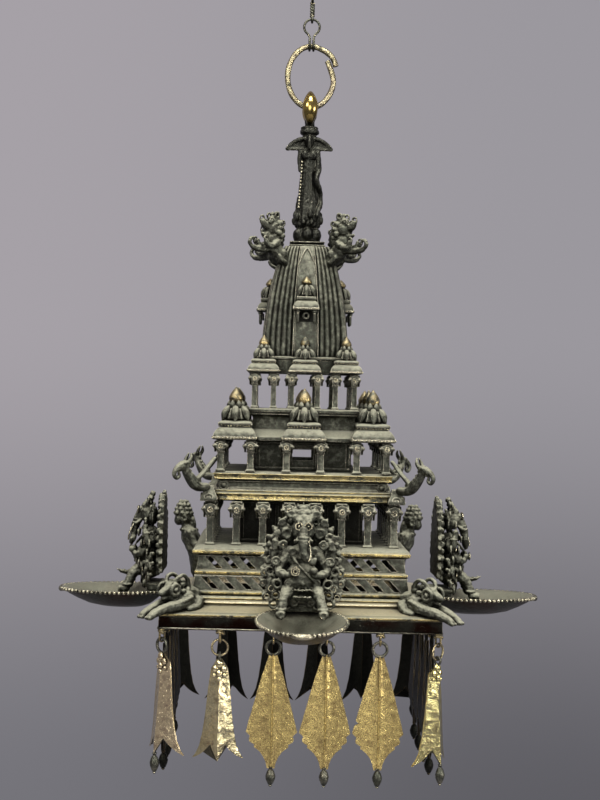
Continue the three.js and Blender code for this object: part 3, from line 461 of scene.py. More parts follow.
class Wire:
    """A shader socket that adds Math nodes where it is used in an expression."""

    def __init__(self, graph, socket):
        self.graph = graph
        self.socket = socket

    def maths(self, operation, *values):
        return self.graph.add("ShaderNodeMath", {"operation": operation}, dict(enumerate(values)))["Value"]

    def __add__(self, other):
        return self.maths("ADD", self, other)

    __radd__ = __add__

    def __mul__(self, other):
        return self.maths("MULTIPLY", self, other)

    __rmul__ = __mul__

    def __sub__(self, other):
        return self.maths("SUBTRACT", self, other)

    def __rsub__(self, other):
        return self.maths("SUBTRACT", other, self)

    def most(self, other):
        return self.maths("MAXIMUM", self, other)

    def between(self, start, end):
        """Rises smoothly from 0 to 1 as this goes from start to end."""
        settings = {"interpolation_type": "SMOOTHSTEP"}
        sockets = {"Value": self, "From Min": start, "From Max": end}
        return self.graph.add("ShaderNodeMapRange", settings, sockets)["Result"]


class Added:
    """A new node whose outputs are read by name."""

    def __init__(self, graph, node):
        self.graph = graph
        self.node = node

    def __getitem__(self, name):
        return Wire(self.graph, self.node.outputs[name])


class Graph:
    """The nodes of one material or world."""

    def __init__(self, owner):
        owner.use_nodes = True
        self.tree = owner.node_tree
        self.tree.nodes.clear()

    def add(self, kind, settings=None, sockets=None):
        node = self.tree.nodes.new(kind)
        for key, value in (settings or {}).items():
            setattr(node, key, value)
        for key, value in (sockets or {}).items():
            if isinstance(value, Wire):
                self.tree.links.new(value.socket, node.inputs[key])
            elif isinstance(value, (tuple, list, Vector)) and len(node.inputs[key].default_value) == 4:
                node.inputs[key].default_value = (*value, 1.0)[:4]
            else:
                node.inputs[key].default_value = value
        return Added(self, node)

    def mix(self, factor, a, b):
        first, second = [tuple(c) if not isinstance(c, Wire) else c for c in (a, b)]
        node = self.add("ShaderNodeMix", {"data_type": "RGBA"}, {0: factor, 6: first, 7: second})
        return Wire(self, node.node.outputs[2])

    def noise(self, place, scale, detail=3.0, rough=0.55):
        sockets = {"Vector": place, "Scale": scale, "Detail": detail, "Roughness": rough}
        return self.add("ShaderNodeTexNoise", None, sockets)["Fac"]


def darker(tone, factor):
    return tuple(c * factor for c in tone)


# Noise scales per metre, and how far the crevices' painted shade and the wider painted shade of sheltered
# places reach
PATCHES = 38.0
BLOTCHES = 210.0
SPECKS = 900.0
PITS = 420.0
CREVICE = 7 * MM
SHELTER = 45 * MM


def tone_of(colour_given):
    """A colour as it is given, or a named colour of the finish, made darker by a factor."""
    if colour_given and isinstance(colour_given[0], str):
        return darker(getattr(finish(), colour_given[0]), colour_given[1])
    return colour_given


def patina(name, polish=0.0, dust=1.0, brass=None, wear_and_glint=1.0, pits=0.3, rough=0.5, stain=None, shift=0.0,
           base=None, mottle=0.0, glint=None, film=1.0, grainy=1.0, soot=1.0):
    """A cast metal: patina, dust on upward faces, bare metal and painted highlights on edges, pits, dark
    patina and painted shade in hollows, and painted shade in sheltered places and on downward faces.
    """
    tones = finish()
    base, stain = tone_of(base), tone_of(stain)
    brass = tone_of(brass) or tuple(tones.brass)
    glint = glint or (brass if polish else tuple(tones.glint))
    material = bpy.data.materials.new(name)
    graph = Graph(material)
    local = graph.add("ShaderNodeTexCoord")["Object"]
    moved = graph.add("ShaderNodeVectorMath", {"operation": "ADD"}, {0: local, 1: (shift, shift * 2, -shift)})
    place = moved["Vector"]
    wide = graph.noise(place, PATCHES, 4.0)
    medium = graph.noise(place, BLOTCHES, 4.0, 0.6)
    fine = graph.noise(place, SPECKS, 3.0, 0.65)
    facing = graph.add("ShaderNodeNewGeometry")["Normal"]
    up = graph.add("ShaderNodeSeparateXYZ", None, {0: facing})["Z"]
    open_air = graph.add("ShaderNodeAmbientOcclusion", {"samples": 6}, {"Distance": CREVICE})["AO"]
    wide_air = graph.add("ShaderNodeAmbientOcclusion", {"samples": 6}, {"Distance": SHELTER})["AO"]
    # Painted shade: downward faces, and places that a wide ambient occlusion finds sheltered, are darkened
    under = (0.0 - up).between(0.35, 0.85) * 0.8
    sheltered = under.most((1 - wide_air.between(0.12, 0.58)) * soot)
    softened = graph.add("ShaderNodeBevel", {"samples": 4}, {"Radius": 1.0 * MM})["Normal"]
    alike = graph.add("ShaderNodeVectorMath", {"operation": "DOT_PRODUCT"}, {0: softened, 1: facing})
    bend = 1 - alike["Value"]
    # Edges: bare metal with a painted highlight along them
    ridge = (bend + (fine - 0.5) * 0.12).between(0.015, 0.11) * open_air.between(0.5, 0.85)
    # Crevices: dark patina, deepened with painted shade
    hollow = 1 - (open_air + (medium - 0.5) * 0.3).between(0.25, 0.9)
    lying = (up + (medium - 0.5) * 0.9 + (wide - 0.5) * 0.5).between(0.05, 0.85)
    thin = (wide * 0.4 + medium * 0.6).between(0.48, 0.66) * (0.4 * film)
    dusty = lying.most(thin) * (tones.dusting * dust) * (1 - hollow * 0.7)
    # Painted highlights: bright glint specks scattered over open surfaces
    sparks = (fine * 0.7 + medium * 0.3).between(0.63, 0.72) * open_air.between(0.5, 0.9) * 0.7
    # This mark holds bare metal and painted highlights together
    rubbed = ridge.most(sparks) * (tones.wear_and_glint * wear_and_glint)
    if polish:
        bare = (wide * 0.45 + medium * 0.35 + fine * 0.2).between(0.62 - 0.3 * polish, 0.82 - 0.42 * polish)
        rubbed = rubbed.most(bare * polish * (1 - lying * (0.8 * dust)) * (1 - hollow * 0.8))
    deep = base or tones.bronze
    greener = tones.bronze_green if not base else tuple(c * 1.6 for c in base)
    tone = graph.mix((medium * 0.6 + fine * 0.4).between(0.4, 0.68), deep, greener)
    if stain:
        tone = graph.mix(wide.between(0.42, 0.62), tone, stain)
    tone = graph.mix(dusty, tone, graph.mix(fine.between(0.3, 0.7), darker(tones.dust, 0.7), tones.dust))
    # The colour of bare metal, also used as the painted highlight's colour
    worn_and_glint = graph.mix(fine.between(0.25, 0.75), darker(glint, 0.7), glint)
    worn_and_glint = graph.mix(medium.between(0.5, 0.8), worn_and_glint, (glint[0] * 0.5, glint[1] * 0.44, glint[2] * 0.42))
    if mottle:
        patch = (wide * 0.35 + medium * 0.4 + fine * 0.25).between(0.44, 0.62)
        worn_and_glint = graph.mix(patch * mottle, worn_and_glint, (glint[0] * 0.3, glint[1] * 0.27, glint[2] * 0.36))
    tone = graph.mix(rubbed * (1 - dusty * 0.35), tone, worn_and_glint)
    # Crevices, sheltered places and downward faces go nearly black: dark patina in the crevices, painted
    # shade in all three
    tone = graph.mix(hollow.most(sheltered) * 0.93, tone, darker(tones.bronze, 0.16))
    cells = graph.add("ShaderNodeTexVoronoi", None, {"Vector": place, "Scale": PITS, "Randomness": 1.0})
    pit = (cells["Distance"] + (medium - 0.5) * 0.5).between(0.2, 0.06) * pits
    tone = graph.mix(pit, tone, darker(tones.bronze, 0.4))
    height = fine * 0.9 + medium * 1.1 - pit * 1.2
    relief = {"Strength": min(0.85 * grainy, 1.0), "Distance": 0.6 * MM, "Height": height}
    bump = graph.add("ShaderNodeBump", None, relief)
    dull = dusty * 0.3 - rubbed * 0.25 + fine * 0.2 + pit * 0.3 + hollow * 0.3 + (rough - 0.12)
    sockets = {"Base Color": tone, "Roughness": dull, "Metallic": 1 - dusty * 0.85, "Normal": bump["Normal"]}
    shader = graph.add("ShaderNodeBsdfPrincipled", None, sockets)
    graph.add("ShaderNodeOutputMaterial", None, {"Surface": shader["BSDF"]})
    return material


# Where a metal differs from the plain patina; a named tone comes from the finish, made darker by its factor
METALS = {
    "dark bronze": dict(),
    # Near-black bronze painted where shade falls: the lower walls, the tiers' insides and slot sides, and the
    # spire's niches
    "sooty bronze": dict(dust=0.25, wear_and_glint=0.3, base=(0.012, 0.012, 0.01), film=0.3),
    "stained bronze": dict(dust=0.08, wear_and_glint=0.8, stain=("rust", 0.05), base=("bronze", 0.2), film=0.15),
    "figure bronze": dict(dust=1.1, pits=0.25),
    "robe bronze": dict(dust=0.15, base=(0.022, 0.022, 0.018), rough=0.4, film=0.4),
    "dish bronze": dict(dust=0.7, wear_and_glint=0.9, stain=(0.05, 0.028, 0.018), rough=0.42, film=0.3, soot=0.1),
    "slope bronze": dict(polish=1.0, dust=0.55, brass=(0.9, 0.8, 0.52), pits=0.1, base=(0.42, 0.37, 0.25),
                         soot=0.4),
    "rubbed brass": dict(polish=0.65, dust=0.9, brass=(0.62, 0.5, 0.17), glint=(0.86, 0.68, 0.27), wear_and_glint=1.3,
                         pits=0.15, rough=0.34),
    "gold tips": dict(polish=0.65, dust=0.4, wear_and_glint=1.2, pits=0.2, rough=0.38),
    "bead brass": dict(polish=0.7, dust=0.1, brass=(0.72, 0.66, 0.46), wear_and_glint=1.4, pits=0.2, rough=0.32),
    "polished brass": dict(polish=1.0, dust=0.0, brass=(0.4, 0.29, 0.09), pits=0.0, rough=0.44, grainy=0.06),
    "wire brass": dict(polish=0.25, dust=0.5, brass=(0.5, 0.42, 0.26), wear_and_glint=1.4, pits=0.4, rough=0.4),
    "grainy brass": dict(polish=0.8, dust=0.2, brass=(0.6, 0.52, 0.29), pits=0.8, rough=0.42, mottle=0.8),
    "eyelet brass": dict(polish=0.5, dust=0.5, wear_and_glint=1.2, pits=0.35, rough=0.45),
    "ring brass": dict(polish=0.8, dust=0.0, brass=(0.6, 0.5, 0.28), rough=0.38, mottle=0.5),
    "drop bronze": dict(polish=0.45, dust=0.1, brass=(0.42, 0.38, 0.28), wear_and_glint=1.2, rough=0.36),
    "ochre leaf": dict(polish=1.0, dust=0.0, brass=("leaf", 1.0), wear_and_glint=0.8, pits=1.0, rough=0.54, mottle=0.5,
                       grainy=0.52),
    "green leaf": dict(polish=1.0, dust=0.0, brass=(0.95, 0.84, 0.38), wear_and_glint=0.8, pits=0.8, rough=0.4,
                       shift=0.31, mottle=0.4, grainy=0.5),
    "pale leaf": dict(polish=1.0, dust=0.0, brass=("pale_leaf", 1.0), wear_and_glint=0.8, pits=0.25, rough=0.34,
                      shift=0.7, mottle=0.25, grainy=0.45),
    "dull leaf": dict(polish=0.95, dust=0.2, brass=(0.9, 0.74, 0.45), wear_and_glint=0.8, pits=0.8, rough=0.48,
                      shift=0.5, mottle=0.5, grainy=0.4),
    "dark leaf": dict(dust=0.03, glint=(0.12, 0.085, 0.045), wear_and_glint=0.8, pits=0.5, base=(0.01, 0.01, 0.008),
                      film=0.1),
}

# Bronze castings with their gold tips, brass ledges and bright beads, by material slot
STOREY_METALS = ("dark bronze", "gold tips", "rubbed brass", "bead brass")
TIP, LEDGE, BEAD = 1, 2, 3


def plain(name, tone):
    """Makes a matt, slightly mottled colour."""
    material = bpy.data.materials.new(name)
    graph = Graph(material)
    mottle = graph.noise(graph.add("ShaderNodeTexCoord")["Object"], 6.0)
    shade = graph.mix(mottle.between(0.3, 0.7), darker(tone, 0.96), tone)
    shader = graph.add("ShaderNodeBsdfPrincipled", None, {"Base Color": shade, "Roughness": 0.85})
    graph.add("ShaderNodeOutputMaterial", None, {"Surface": shader["BSDF"]})


def metal(name):
    """One of the lamp's metals, made the first time it is asked for."""
    return bpy.data.materials.get(name) or patina(name, **METALS[name])


# Chain


def chain_hook():
    """A screwed plate with a closed wire loop under it."""
    plate = high("ceiling_hook").x
    loop, wire = 8.0, 2.0
    middle = low("ceiling_hook").z + loop + wire
    shape = Shape()
    disc = [(0.2, -3.0), (plate - 1.2, -3.0), (plate, -2.2), (plate, -0.4), (plate - 0.4, 0), (0.2, 0)]
    shape.lathe(disc, 48)
    shape.lathe([(0.2, middle + 8), (3, middle + 8), (3.4, -5), (5.5, -3.2), (5.5, -2.5), (0.2, -2.5)], 20)
    shape.ring((0, 0, middle), loop, wire, "Y", 12, 40)
    for turn in (45, 135, 225, 315):
        shape.ball(turned(turn) @ Vector((plate * 0.68, 0, -3.1)), (2.1, 2.1, 0.9), sides=16)
    return shape


def upper_link():
    """A wire eye and a small loop joined by a neck of two twisted wires."""
    top, foot = high("chain_link_upper").z, low("chain_link_upper").z
    radius, wire, small = 7.4, 1.2, 3.0
    eye = top - radius - wire
    loop = foot + small + wire
    shape = Shape().ring((0, 0, eye), radius, wire, "X", 10, 40)
    shape.ring((0, 0, loop), small, wire, "X", 10, 28)
    start, end = eye - radius + 0.5, loop + small - 0.5
    for phase in (0, math.pi):
        path = []
        for i in range(41):
            turn = phase + i / 40 * 2.5 * 2 * math.pi
            z = start + (end - start) * (i / 40)
            path.append([1.25 * math.cos(turn), 1.25 * math.sin(turn), z, wire])
        shape.tube(path, 10)
    return shape


def lower_link():
    """A bottle-shaped wire eye whose two legs are bent round the ring as hooks, side by side."""
    top, foot = high("chain_link_lower").z, low("chain_link_lower").z
    radius, wire = 7.4, 1.15
    head = top - radius - wire
    bend = foot + radius + wire - 1.2
    waist = bend + 6.4
    path = [[-2.6, -0.4, waist + 1.4, wire]]
    for k in range(25):
        turn = math.radians(238 - 296 * k / 24)
        path.append([radius * math.cos(turn), 0, head + radius * math.sin(turn), wire])
    path.append([2.6, -0.4, waist + 1.4, wire])
    shape = Shape().tube(catmull(path, 2), 10)
    for hand in (1, -1):
        hook = [[hand * 2.6, -0.6, waist + 1.6, wire]]
        for k in range(17):
            turn = math.radians(100 + 320 * k / 16)
            hook.append([hand * 1.9, 6.1 * math.cos(turn), bend + 6.1 * math.sin(turn), wire])
        shape.tube(catmull(hook, 2), 10)
    return shape


def ring_path(steps):
    """The suspension ring's wire: on the right, its upper end laps outside its lower end."""
    top, foot = high("suspension_ring"), low("suspension_ring")
    wire = 2.7
    lap = wire + 0.3
    middle = (top.z + foot.z) / 2 - 0.05
    half_width = -foot.x - wire
    half_height = (top.z - foot.z) / 2 - wire
    path = []
    for i in range(steps + 1):
        along = i / steps
        turn = math.radians(19 + along * 378)
        rise = [min(max((along - a) / (b - a), 0), 1) for a, b in ((0.86, 0.97), (0.03, 0.14))]
        soft = [t * t * (3 - 2 * t) for t in rise]
        out = lap * (1 - soft[0] - soft[1])
        x = (half_width + out) * math.cos(turn)
        z = middle + (half_height + out) * math.sin(turn)
        path.append([x, 0, z, wire * (1 + 0.04 * math.sin(9 * turn))])
    return path


class LAMP_OT_chain(bpy.types.Operator):
    """Make the ceiling hook, the two links and the suspension ring"""

    bl_idname = "lamp.chain"
    bl_label = "Hook, links and ring"

    def execute(self, context):
        wire = ["wire brass"]
        dress("ceiling_hook", "hook", chain_hook(), wire, "ceiling", "worn_brass", edge=sizes().edge)
        dress("chain_link_upper", "link_upper", upper_link(), wire, "upper_link", "worn_brass", sharp=60)
        dress("chain_link_lower", "link_lower", lower_link(), wire, "lower_link", "worn_brass", sharp=60)
        ring = Shape().tube(ring_path(200), 18)
        dress("suspension_ring", "ring", ring, ["grainy brass"], "ring", "bright_brass", edge=0.5 * MM,
              rough=0.4, grain=3.0, sharp=60)
        return {"FINISHED"}


# Hanger


def hanger_eye(top):
    """A thick eye seen edge on, broad at its sides and thin at its top."""
    middle, radius = top - 17.2, 10.7
    rings = []
    for turn in circle(96):
        out = Vector((0, math.cos(turn), math.sin(turn)))
        width = 3.0 + 4.3 * abs(math.cos(turn)) ** 1.3
        thick = 6.5 - 0.8 * abs(math.cos(turn))
        ring = []
        for around_wire in circle(36):
            spot = Vector((0, 0, middle)) + out * (radius + thick * math.cos(around_wire))
            ring.append(spot + Vector((width * math.sin(around_wire), 0, 0)))
        rings.append(ring)
    return Shape().loft(rings, looped=True)


# The wing's outline, across and down
WING = ((2, 43), (9, 44.6), (15, 47.6), (19.6, 51.4), (22.6, 55.4), (21, 57.2), (16, 57), (9, 56.4), (2, 58))


def hanger_body(top):
    """A winged figure in a beaded robe between a collar and a bulb foot."""
    shape = Figure((0, 0, top), out=1, up=-1)
    shape.limb((0, 0, 27, 5.4), (0, 0, 31, 4.6), (0, 0, 36, 4.6))
    shape.ring((3.4, 0, 19), 8.2, 1.6, "X", 8, 32)
    shape.ring((5.2, 0, 19), 6.4, 1.2, "X", 8, 32)
    shape.lathe(
        [(0.2, 34), (7.6, 34.4), (8.6, 35.6), (7.9, 36.8), (8.9, 38), (9.3, 40), (8.4, 41.6),
         (6.4, 42.4), (5.6, 48), (0.2, 48)],
        28,
    )
    for shape.side in HANDS:
        wing = Shape().plate([(shape.side * x, top - down) for x, down in WING], 3.4)
        wing.points = [p + Vector((0, -2.4 - 0.05 * abs(p.x), 0)) for p in wing.points]
        shape.join(wing)
        shape.limb((4, -4.6, 46, 2), (12, -4.6, 48.6, 1.7), (21.4, -4, 56, 1.3))
        shape.limb((6, -4.6, 56.2, 1.4), (14, -4.6, 56.6, 1.3), (21.4, -4, 56.8, 1.2))
        shape.limb((8, -3.5, 57, 2.6), (9, -4.5, 66, 2.2), (8, -6, 77, 1.9))
        shape.ball((3.6, -6.5, 62), (4, 3, 4.6))
        shape.limb((3.4, -8, 112, 3), (3.8, -10, 124, 2.6), (3.8, -12.6, 127, 2.2))
    shape.ball((0, -4.5, 49), (4.6, 5, 6.4))
    shape.limb((0, -8.6, 45.5, 1.7), (0, -9.8, 50, 2), (0, -9.4, 55.5, 1.9))
    shape.lathe([(0.2, 46), (3.6, 45), (4.4, 42.6), (2.6, 40), (0.2, 39.6)], 12, (0, -3.4))
    shape.ball((0, -1, 63), (8.8, 7, 10))
    shape.ball((0, -1, 72), (8.4, 6.8, 8))
    shape.lathe(
        [(0.2, 64), (7.2, 68), (7.8, 80), (8.8, 92), (9.6, 104), (11, 116), (11.8, 124),
         (10, 131), (0.2, 132)],
        32, flutes=11, flute=0.07,
    )
    for k, turn in enumerate(range(0, 360, 30)):
        a = math.radians(turn + 8)
        x, y = math.cos(a), math.sin(a)
        sway = (1.8, -1.2, 0.6)[k % 3]
        shape.limb((x * 6.4, y * 6, 74, 1.3), (x * 8 + sway, y * 7.8, 92, 1.7),
                   (x * 9.4 - sway * 0.5, y * 9.2, 108, 1.5), (x * 11.6 + sway, y * 11, 123, 2.1))
    snake = []
    for k in range(15):
        t = k / 14
        a = math.radians(-20 + 26 * math.sin(t * 11))
        reach = 9.4 + 3.2 * t
        snake.append([reach * math.cos(a), reach * math.sin(a) - 2, 60 + 60 * t, 1.9 + 0.8 * math.sin(t * 3)])
    shape.limb(*snake, sides=8)
    for k in range(12):
        a = math.radians(30 * k + 10)
        wide = 11.8 + 1.4 * (k % 2)
        shape.ball((wide * math.cos(a), wide * math.sin(a), 119 + 2.5 * (k % 3)), (2.6, 2.6, 4.2))
        shape.ball((10 * math.cos(a), 10 * math.sin(a), 128), (2.6, 2.6, 3.2))
    for turn in range(0, 360, 60):
        a = math.radians(turn + 30)
        shape.ball((9.2 * math.cos(a), 9.2 * math.sin(a), 138), (5.6, 5.6, 6.6))
        shape.ball((5.6 * math.cos(a) * 1.9, 5.6 * math.sin(a) * 1.9, 137), (2, 2, 2.4))
    shape.lathe([(0.2, 128), (9.5, 130), (10.5, 138), (12.5, 143.6), (12.5, 144.8), (0.2, 144.8)],
                28)
    return shape


def robe_beads(top):
    """The strand of bright beads down the front of the robe."""
    strand = [(-6.4 - 2.6 * t, -7.4 - 2.6 * t, top - 69 - 46 * t) for t in (k / 20 for k in range(21))]
    return Shape().beads(spread(strand, 3.1), 1.15)


class LAMP_OT_hanger(bpy.types.Operator):
    """Make the polished eye and the winged figure that the lamp hangs by"""

    bl_idname = "lamp.hanger"
    bl_label = "Hanger"

    def execute(self, context):
        top = high("hanger_figure").z
        node = "hanger_figure"
        dress(node, "hanger_eye", hanger_eye(top), ["polished brass"], slot="bright_brass", sharp=80)
        voxel = sizes().voxel * 0.8
        dress(node, "hanger_robe", hanger_body(top), ["robe bronze"], voxel=voxel, rough=0.9, grain=3.0)
        dress(node, "hanger_beads", robe_beads(top), ["bead brass"])
        return {"FINISHED"}


# Spire

# The spire's height under its plain cap, its half widths, and where the lions stand, as a share of it
SPIRE_HEIGHT = 105.0
SPIRE_CAP = 5.0
SPIRE_TOP_HALF = 20.0
SPIRE_FOOT_HALF = 38.5
SPIRE_SWELL = 0.72
LION_PERCH = 0.1
# Profiles as shares of a half width and a height; the petals' third numbers are radii
BUD = ((0.3, 0.0), (0.5, 0.02), (0.42, 0.12), (0.62, 0.2), (0.98, 0.42), (0.92, 0.56), (0.55, 0.78),
       (0.2, 0.92), (0.05, 1.0))
DOME = ((0.2, 0.0), (0.7, 0.0), (0.84, 0.16), (0.8, 0.4), (0.62, 0.66), (0.5, 0.84), (0.5, 0.98), (0.1, 1.0))
PETAL = ((0.36, 1.0, 0.16), (0.66, 0.84, 0.27), (0.86, 0.52, 0.31), (0.98, 0.2, 0.2), (1.1, 0.02, 0.06))
LOBE = ((0.6, 0.8, 0.14), (0.86, 0.2, 0.12))
EAVE = ((0.86, 0), (0.97, 0.1), (1, 0.5), (1, 1), (0.95, 1.2), (0.4, 1.2))
ROOF = ((0.97, 0.2), (0.965, 0.32), (0.94, 0.46), (0.88, 0.62), (0.8, 0.76), (0.7, 0.88), (0.62, 0.95),
        (0.6, 1.0))


def spire_half(down):
    """The spire's half width at a share of its height below its top."""
    return SPIRE_TOP_HALF + (SPIRE_FOOT_HALF - SPIRE_TOP_HALF) * math.sin(down * math.pi / 2) ** SPIRE_SWELL


def reed(across):
    """How far the spire's face stands out at a share of its half width, as a fraction of that half width."""
    reach = abs(across)
    if reach < 0.27:
        return 0.03
    if reach < 0.33:
        return 0.03 + 0.03 * math.sin(math.pi * (reach - 0.27) / 0.06)
    turns = (reach - 0.33) / 0.67 * 5
    return 0.07 * abs(math.sin(math.pi * turns)) ** 0.6 - 0.05


def spire_shell(top, foot):
    shape = Shape()
    steps, levels = 120, 44
    rings = []
    for i in range(levels + 1):
        down = (i / levels) ** 1.2
        half = spire_half(down)
        z = top + (foot - top) * down
        ring = []
        for side in range(4):
            for k in range(steps):
                across = -1 + 2 * k / steps
                spot = Vector((across * half, -half * (1 + reed(across)), z))
                ring.append(turned(90 * side) @ spot)
        rings.append(ring)
    return shape.loft(rings)


def tip(shape, x, y, foot, height, radius, slot=TIP):
    """A pointed bud on a short neck."""
    shape.lathe(scaled(BUD, radius, foot, height), 18, (x, y), slot=slot)


def petal_dome(shape, x, y, foot, height, radius, petals):
    """A dome of drooping petals with pointed lobes round a bud."""
    shape.lathe(scaled(DOME, radius, foot, height), petals * 6, (x, y))
    for k in range(2 * petals):
        turn = math.pi * (k + 1) / petals
        across, out = radius * math.cos(turn), radius * math.sin(turn)
        stops, sides = (LOBE, 6) if k % 2 else (PETAL, 8)
        path = [(x + f * across, y + f * out, foot + height * up, radius * r) for f, up, r in stops]
        shape.limb(*path, sides=sides)


def eave(shape, x, y, half, foot, height, top_half, bead):
    """A square eave with a beaded lip under a roof that swells and then draws in."""
    lip = height * 0.2
    shape.square(scaled(EAVE, half, foot, lip), (x, y))
    roof = [(top_half + (half - top_half) * (r - 0.6) / 0.4, foot + height * h) for r, h in ROOF]
    shape.square([(half * 0.4, foot + lip)] + roof + [(top_half * 0.3, roof[-1][1])], (x, y))
    shape.beads(spread(square_row(x, y, half * 0.985, foot + lip * 0.8), bead * 2.9), bead * 1.15, slot=BEAD)


def mid_shrine():
    """The small shrine front on each face of the spire."""
    reach, half = 46.0, 12.5
    roof = high("spire_tower").z - SPIRE_CAP - 35
    y = -reach + half
    shape = Shape()
    eave(shape, 0, y, half, roof - 26.5, 9.5, half * 0.62, 0.7)
    shape.square(scaled(((0.66, -18), (0.74, -16), (0.7, -13.8), (0.3, -13.4)), half, roof, 1), (0, y))
    petal_dome(shape, 0, y, roof - 14, 10.5, half * 0.64, 6)
    tip(shape, 0, y, roof - 5, 10.5, half * 0.4)
    # The niche box under the eave is painted shade: in the spire's metals, slot 2 is near-black bronze
    shape.square(scaled(((0.55, -38), (0.6, -34), (0.5, -26)), half, roof, 1), (0, y + 2.5), slot=LEDGE)
    front = y - half * 0.72
    for hand in HANDS:
        x = hand * half * 0.62
        shape.limb((x, front, roof - 37, 1.5), (x, front, roof - 26, 1.5))
        shape.ball((x, front, roof - 28), (2.4, 2.4, 1.6))
    shape.ring((0, y - half * 0.52, roof - 31.5), 2.6, 1.0)
    return shape


def spire_arch():
    """The thin leaf-shaped moulding over a shrine."""
    top = high("spire_tower").z
    arch = []
    for k in range(9):
        across = 2 * (k / 8) - 1
        drop = 0.16 * abs(across)
        half = spire_half(0.02 + drop) * 1.03
        z = top - 7 - SPIRE_HEIGHT * 0.16 * abs(across) ** 1.5
        arch.append((across * half * 0.29, -half - 0.1, z, 0.7))
    return Shape().tube(catmull(arch, 3), 6)


class LAMP_OT_spire(bpy.types.Operator):
    """Make the reeded spire with a small shrine on each face"""

    bl_idname = "lamp.spire"
    bl_label = "Spire"

    def execute(self, context):
        top, foot = high("spire_tower").z, low("spire_tower").z
        # Slot 2 is near-black bronze that paints shade into the shrines' niches
        metals = ("dark bronze", "gold tips", "sooty bronze", "bead brass")
        shell = spire_shell(top - SPIRE_CAP, foot)
        shell.square(off(0, top, (17, -6), (17, -3.4), (14.6, -2.6), (16.4, -1), (16.4, 0), (3, 0)))
        dress("spire_tower", "spire_shell", shell, metals, edge=FINE_EDGE, sharp=45)
        shrines = Shape()
        arches = Shape()
        for side in range(4):
            shrines.join(mid_shrine(), turned(90 * side))
            arches.join(spire_arch(), turned(90 * side))
        dress("spire_tower", "spire_shrines", shrines, metals, edge=FINEST_EDGE)
        dress("spire_tower", "spire_arches", arches, metals)
        return {"FINISHED"}


def spire_lion():
    """A rearing lion, curled and knobbly, whose paws and tongue reach out from the spire's corner."""
    corner = spire_half(LION_PERCH) * math.sqrt(2)
    level = high("spire_tower").z - SPIRE_CAP - SPIRE_HEIGHT * LION_PERCH
    shape = Figure((0, -corner, level))
    shape.limb((0, -7, -10, 5.5), (0, 0, -1, 7.5), (0, 8, 6, 7.6), (0, 12, 15, 6.6))
    shape.ball((0, 13, 25), (7.6, 7.6, 7.6))
    shape.ball((0, 11, 32), (6, 5.6, 5))
    for k, turn in enumerate(range(0, 360, 30)):
        a = math.radians(turn)
        big = 2.7 if k % 2 else 2.1
        shape.ball((8.2 * math.cos(a), 8 + k % 3, 25 + 9 * math.sin(a)), (big, 3.2, big))
        shape.ball((6.4 * math.cos(a + 0.3), 4.6, 20 + 9.5 * math.sin(a + 0.3)), (big, 2.8, big))
    shape.limb((0, 17, 26, 4.6), (0, 22, 27.6, 3.8), (0, 25, 30.5, 2.6))
    shape.ring((0, 25.4, 33), 2.6, 1.1, "X", 6, 16)
    shape.limb((0, 16, 20, 3), (0, 21, 18.4, 2.2), (0, 24.4, 19.6, 1.3))
    for shape.side in HANDS:
        shape.ring((4.6, 17.6, 31), 2.5, 1.0, "X", 6, 16)
        shape.ball((5, 17.6, 31), 1.5)
        shape.ring((5.2, 11, 37), 2.6, 1.2, "X", 6, 16)
        shape.ball((3, 8.6, 38.4), (2.4, 2.6, 2.6))
        shape.ring((6.8, 5, 30), 2.4, 1.1, "X", 6, 16)
        shape.limb((5, 10, 12, 3.6), (7.2, 18, 8, 3.2), (7, 24, 8.4, 2.6), (7, 27, 12, 2))
        shape.ring((7, 26.6, 14), 2.2, 1.0, "X", 6, 16)
        shape.limb((4, -2, -7, 3.2), (6, 3, -5, 2.6), (6, 8, -1, 2.2))
        shape.ball((6.8, 3, 2), (3, 4, 4))
    shape.limb((0, 6, 6, 5), (0, 16, 6, 4.4), (0, 27, 4.6, 3.3), (0, 36, 5.4, 2.4), (0, 40.4, 9.4, 2),
               (0, 39, 13.6, 1.8), (0, 35.4, 13.6, 1.5), (0, 35, 10.8, 1.2))
    shape.limb((0, 23, 7, 2.6), (0, 29, 9.5, 2.2), (0, 30, 13, 1.6))
    shape.limb((0, 2, 16, 3), (0, -1, 24, 2.4), (0, 2, 32, 2), (0, 6, 35, 1.3))
    return shape


class LAMP_OT_spire_lions(bpy.types.Operator):
    """Make the four lions at the spire's upper corners"""

    bl_idname = "lamp.spire_lions"
    bl_label = "Spire lions"

    def execute(self, context):
        voxel = sizes().voxel * 0.8
        lion = cast("lion_pattern", spire_lion(), ["dark bronze"], voxel=voxel, rough=1.3, grain=4.0)
        repeat(lion, [(f"lion_{c}", f"spire_lion_{c}", 45 + 90 * k) for k, c in enumerate(CORNERS)])
        return {"FINISHED"}


# Storeys


def around(distance):
    """The eight places round a square."""
    steps = (-distance, 0, distance)
    return [(x, y) for x in steps for y in steps if max(abs(x), abs(y)) == distance]


def column_places(offsets):
    reach = max(offsets)
    signed = [s * o for o in offsets for s in HANDS]
    return [(x, y) for x in signed for y in signed if max(abs(x), abs(y)) == reach]


# The leaf on a column's cushion, as shares of its half width and height
LOZENGE = ((-1, 0.12), (-0.72, -0.06), (-0.36, -0.3), (0, -0.56), (0.36, -0.3), (0.72, -0.06), (1, 0.12),
           (0.5, 0.36), (0, 0.48), (-0.5, 0.36))


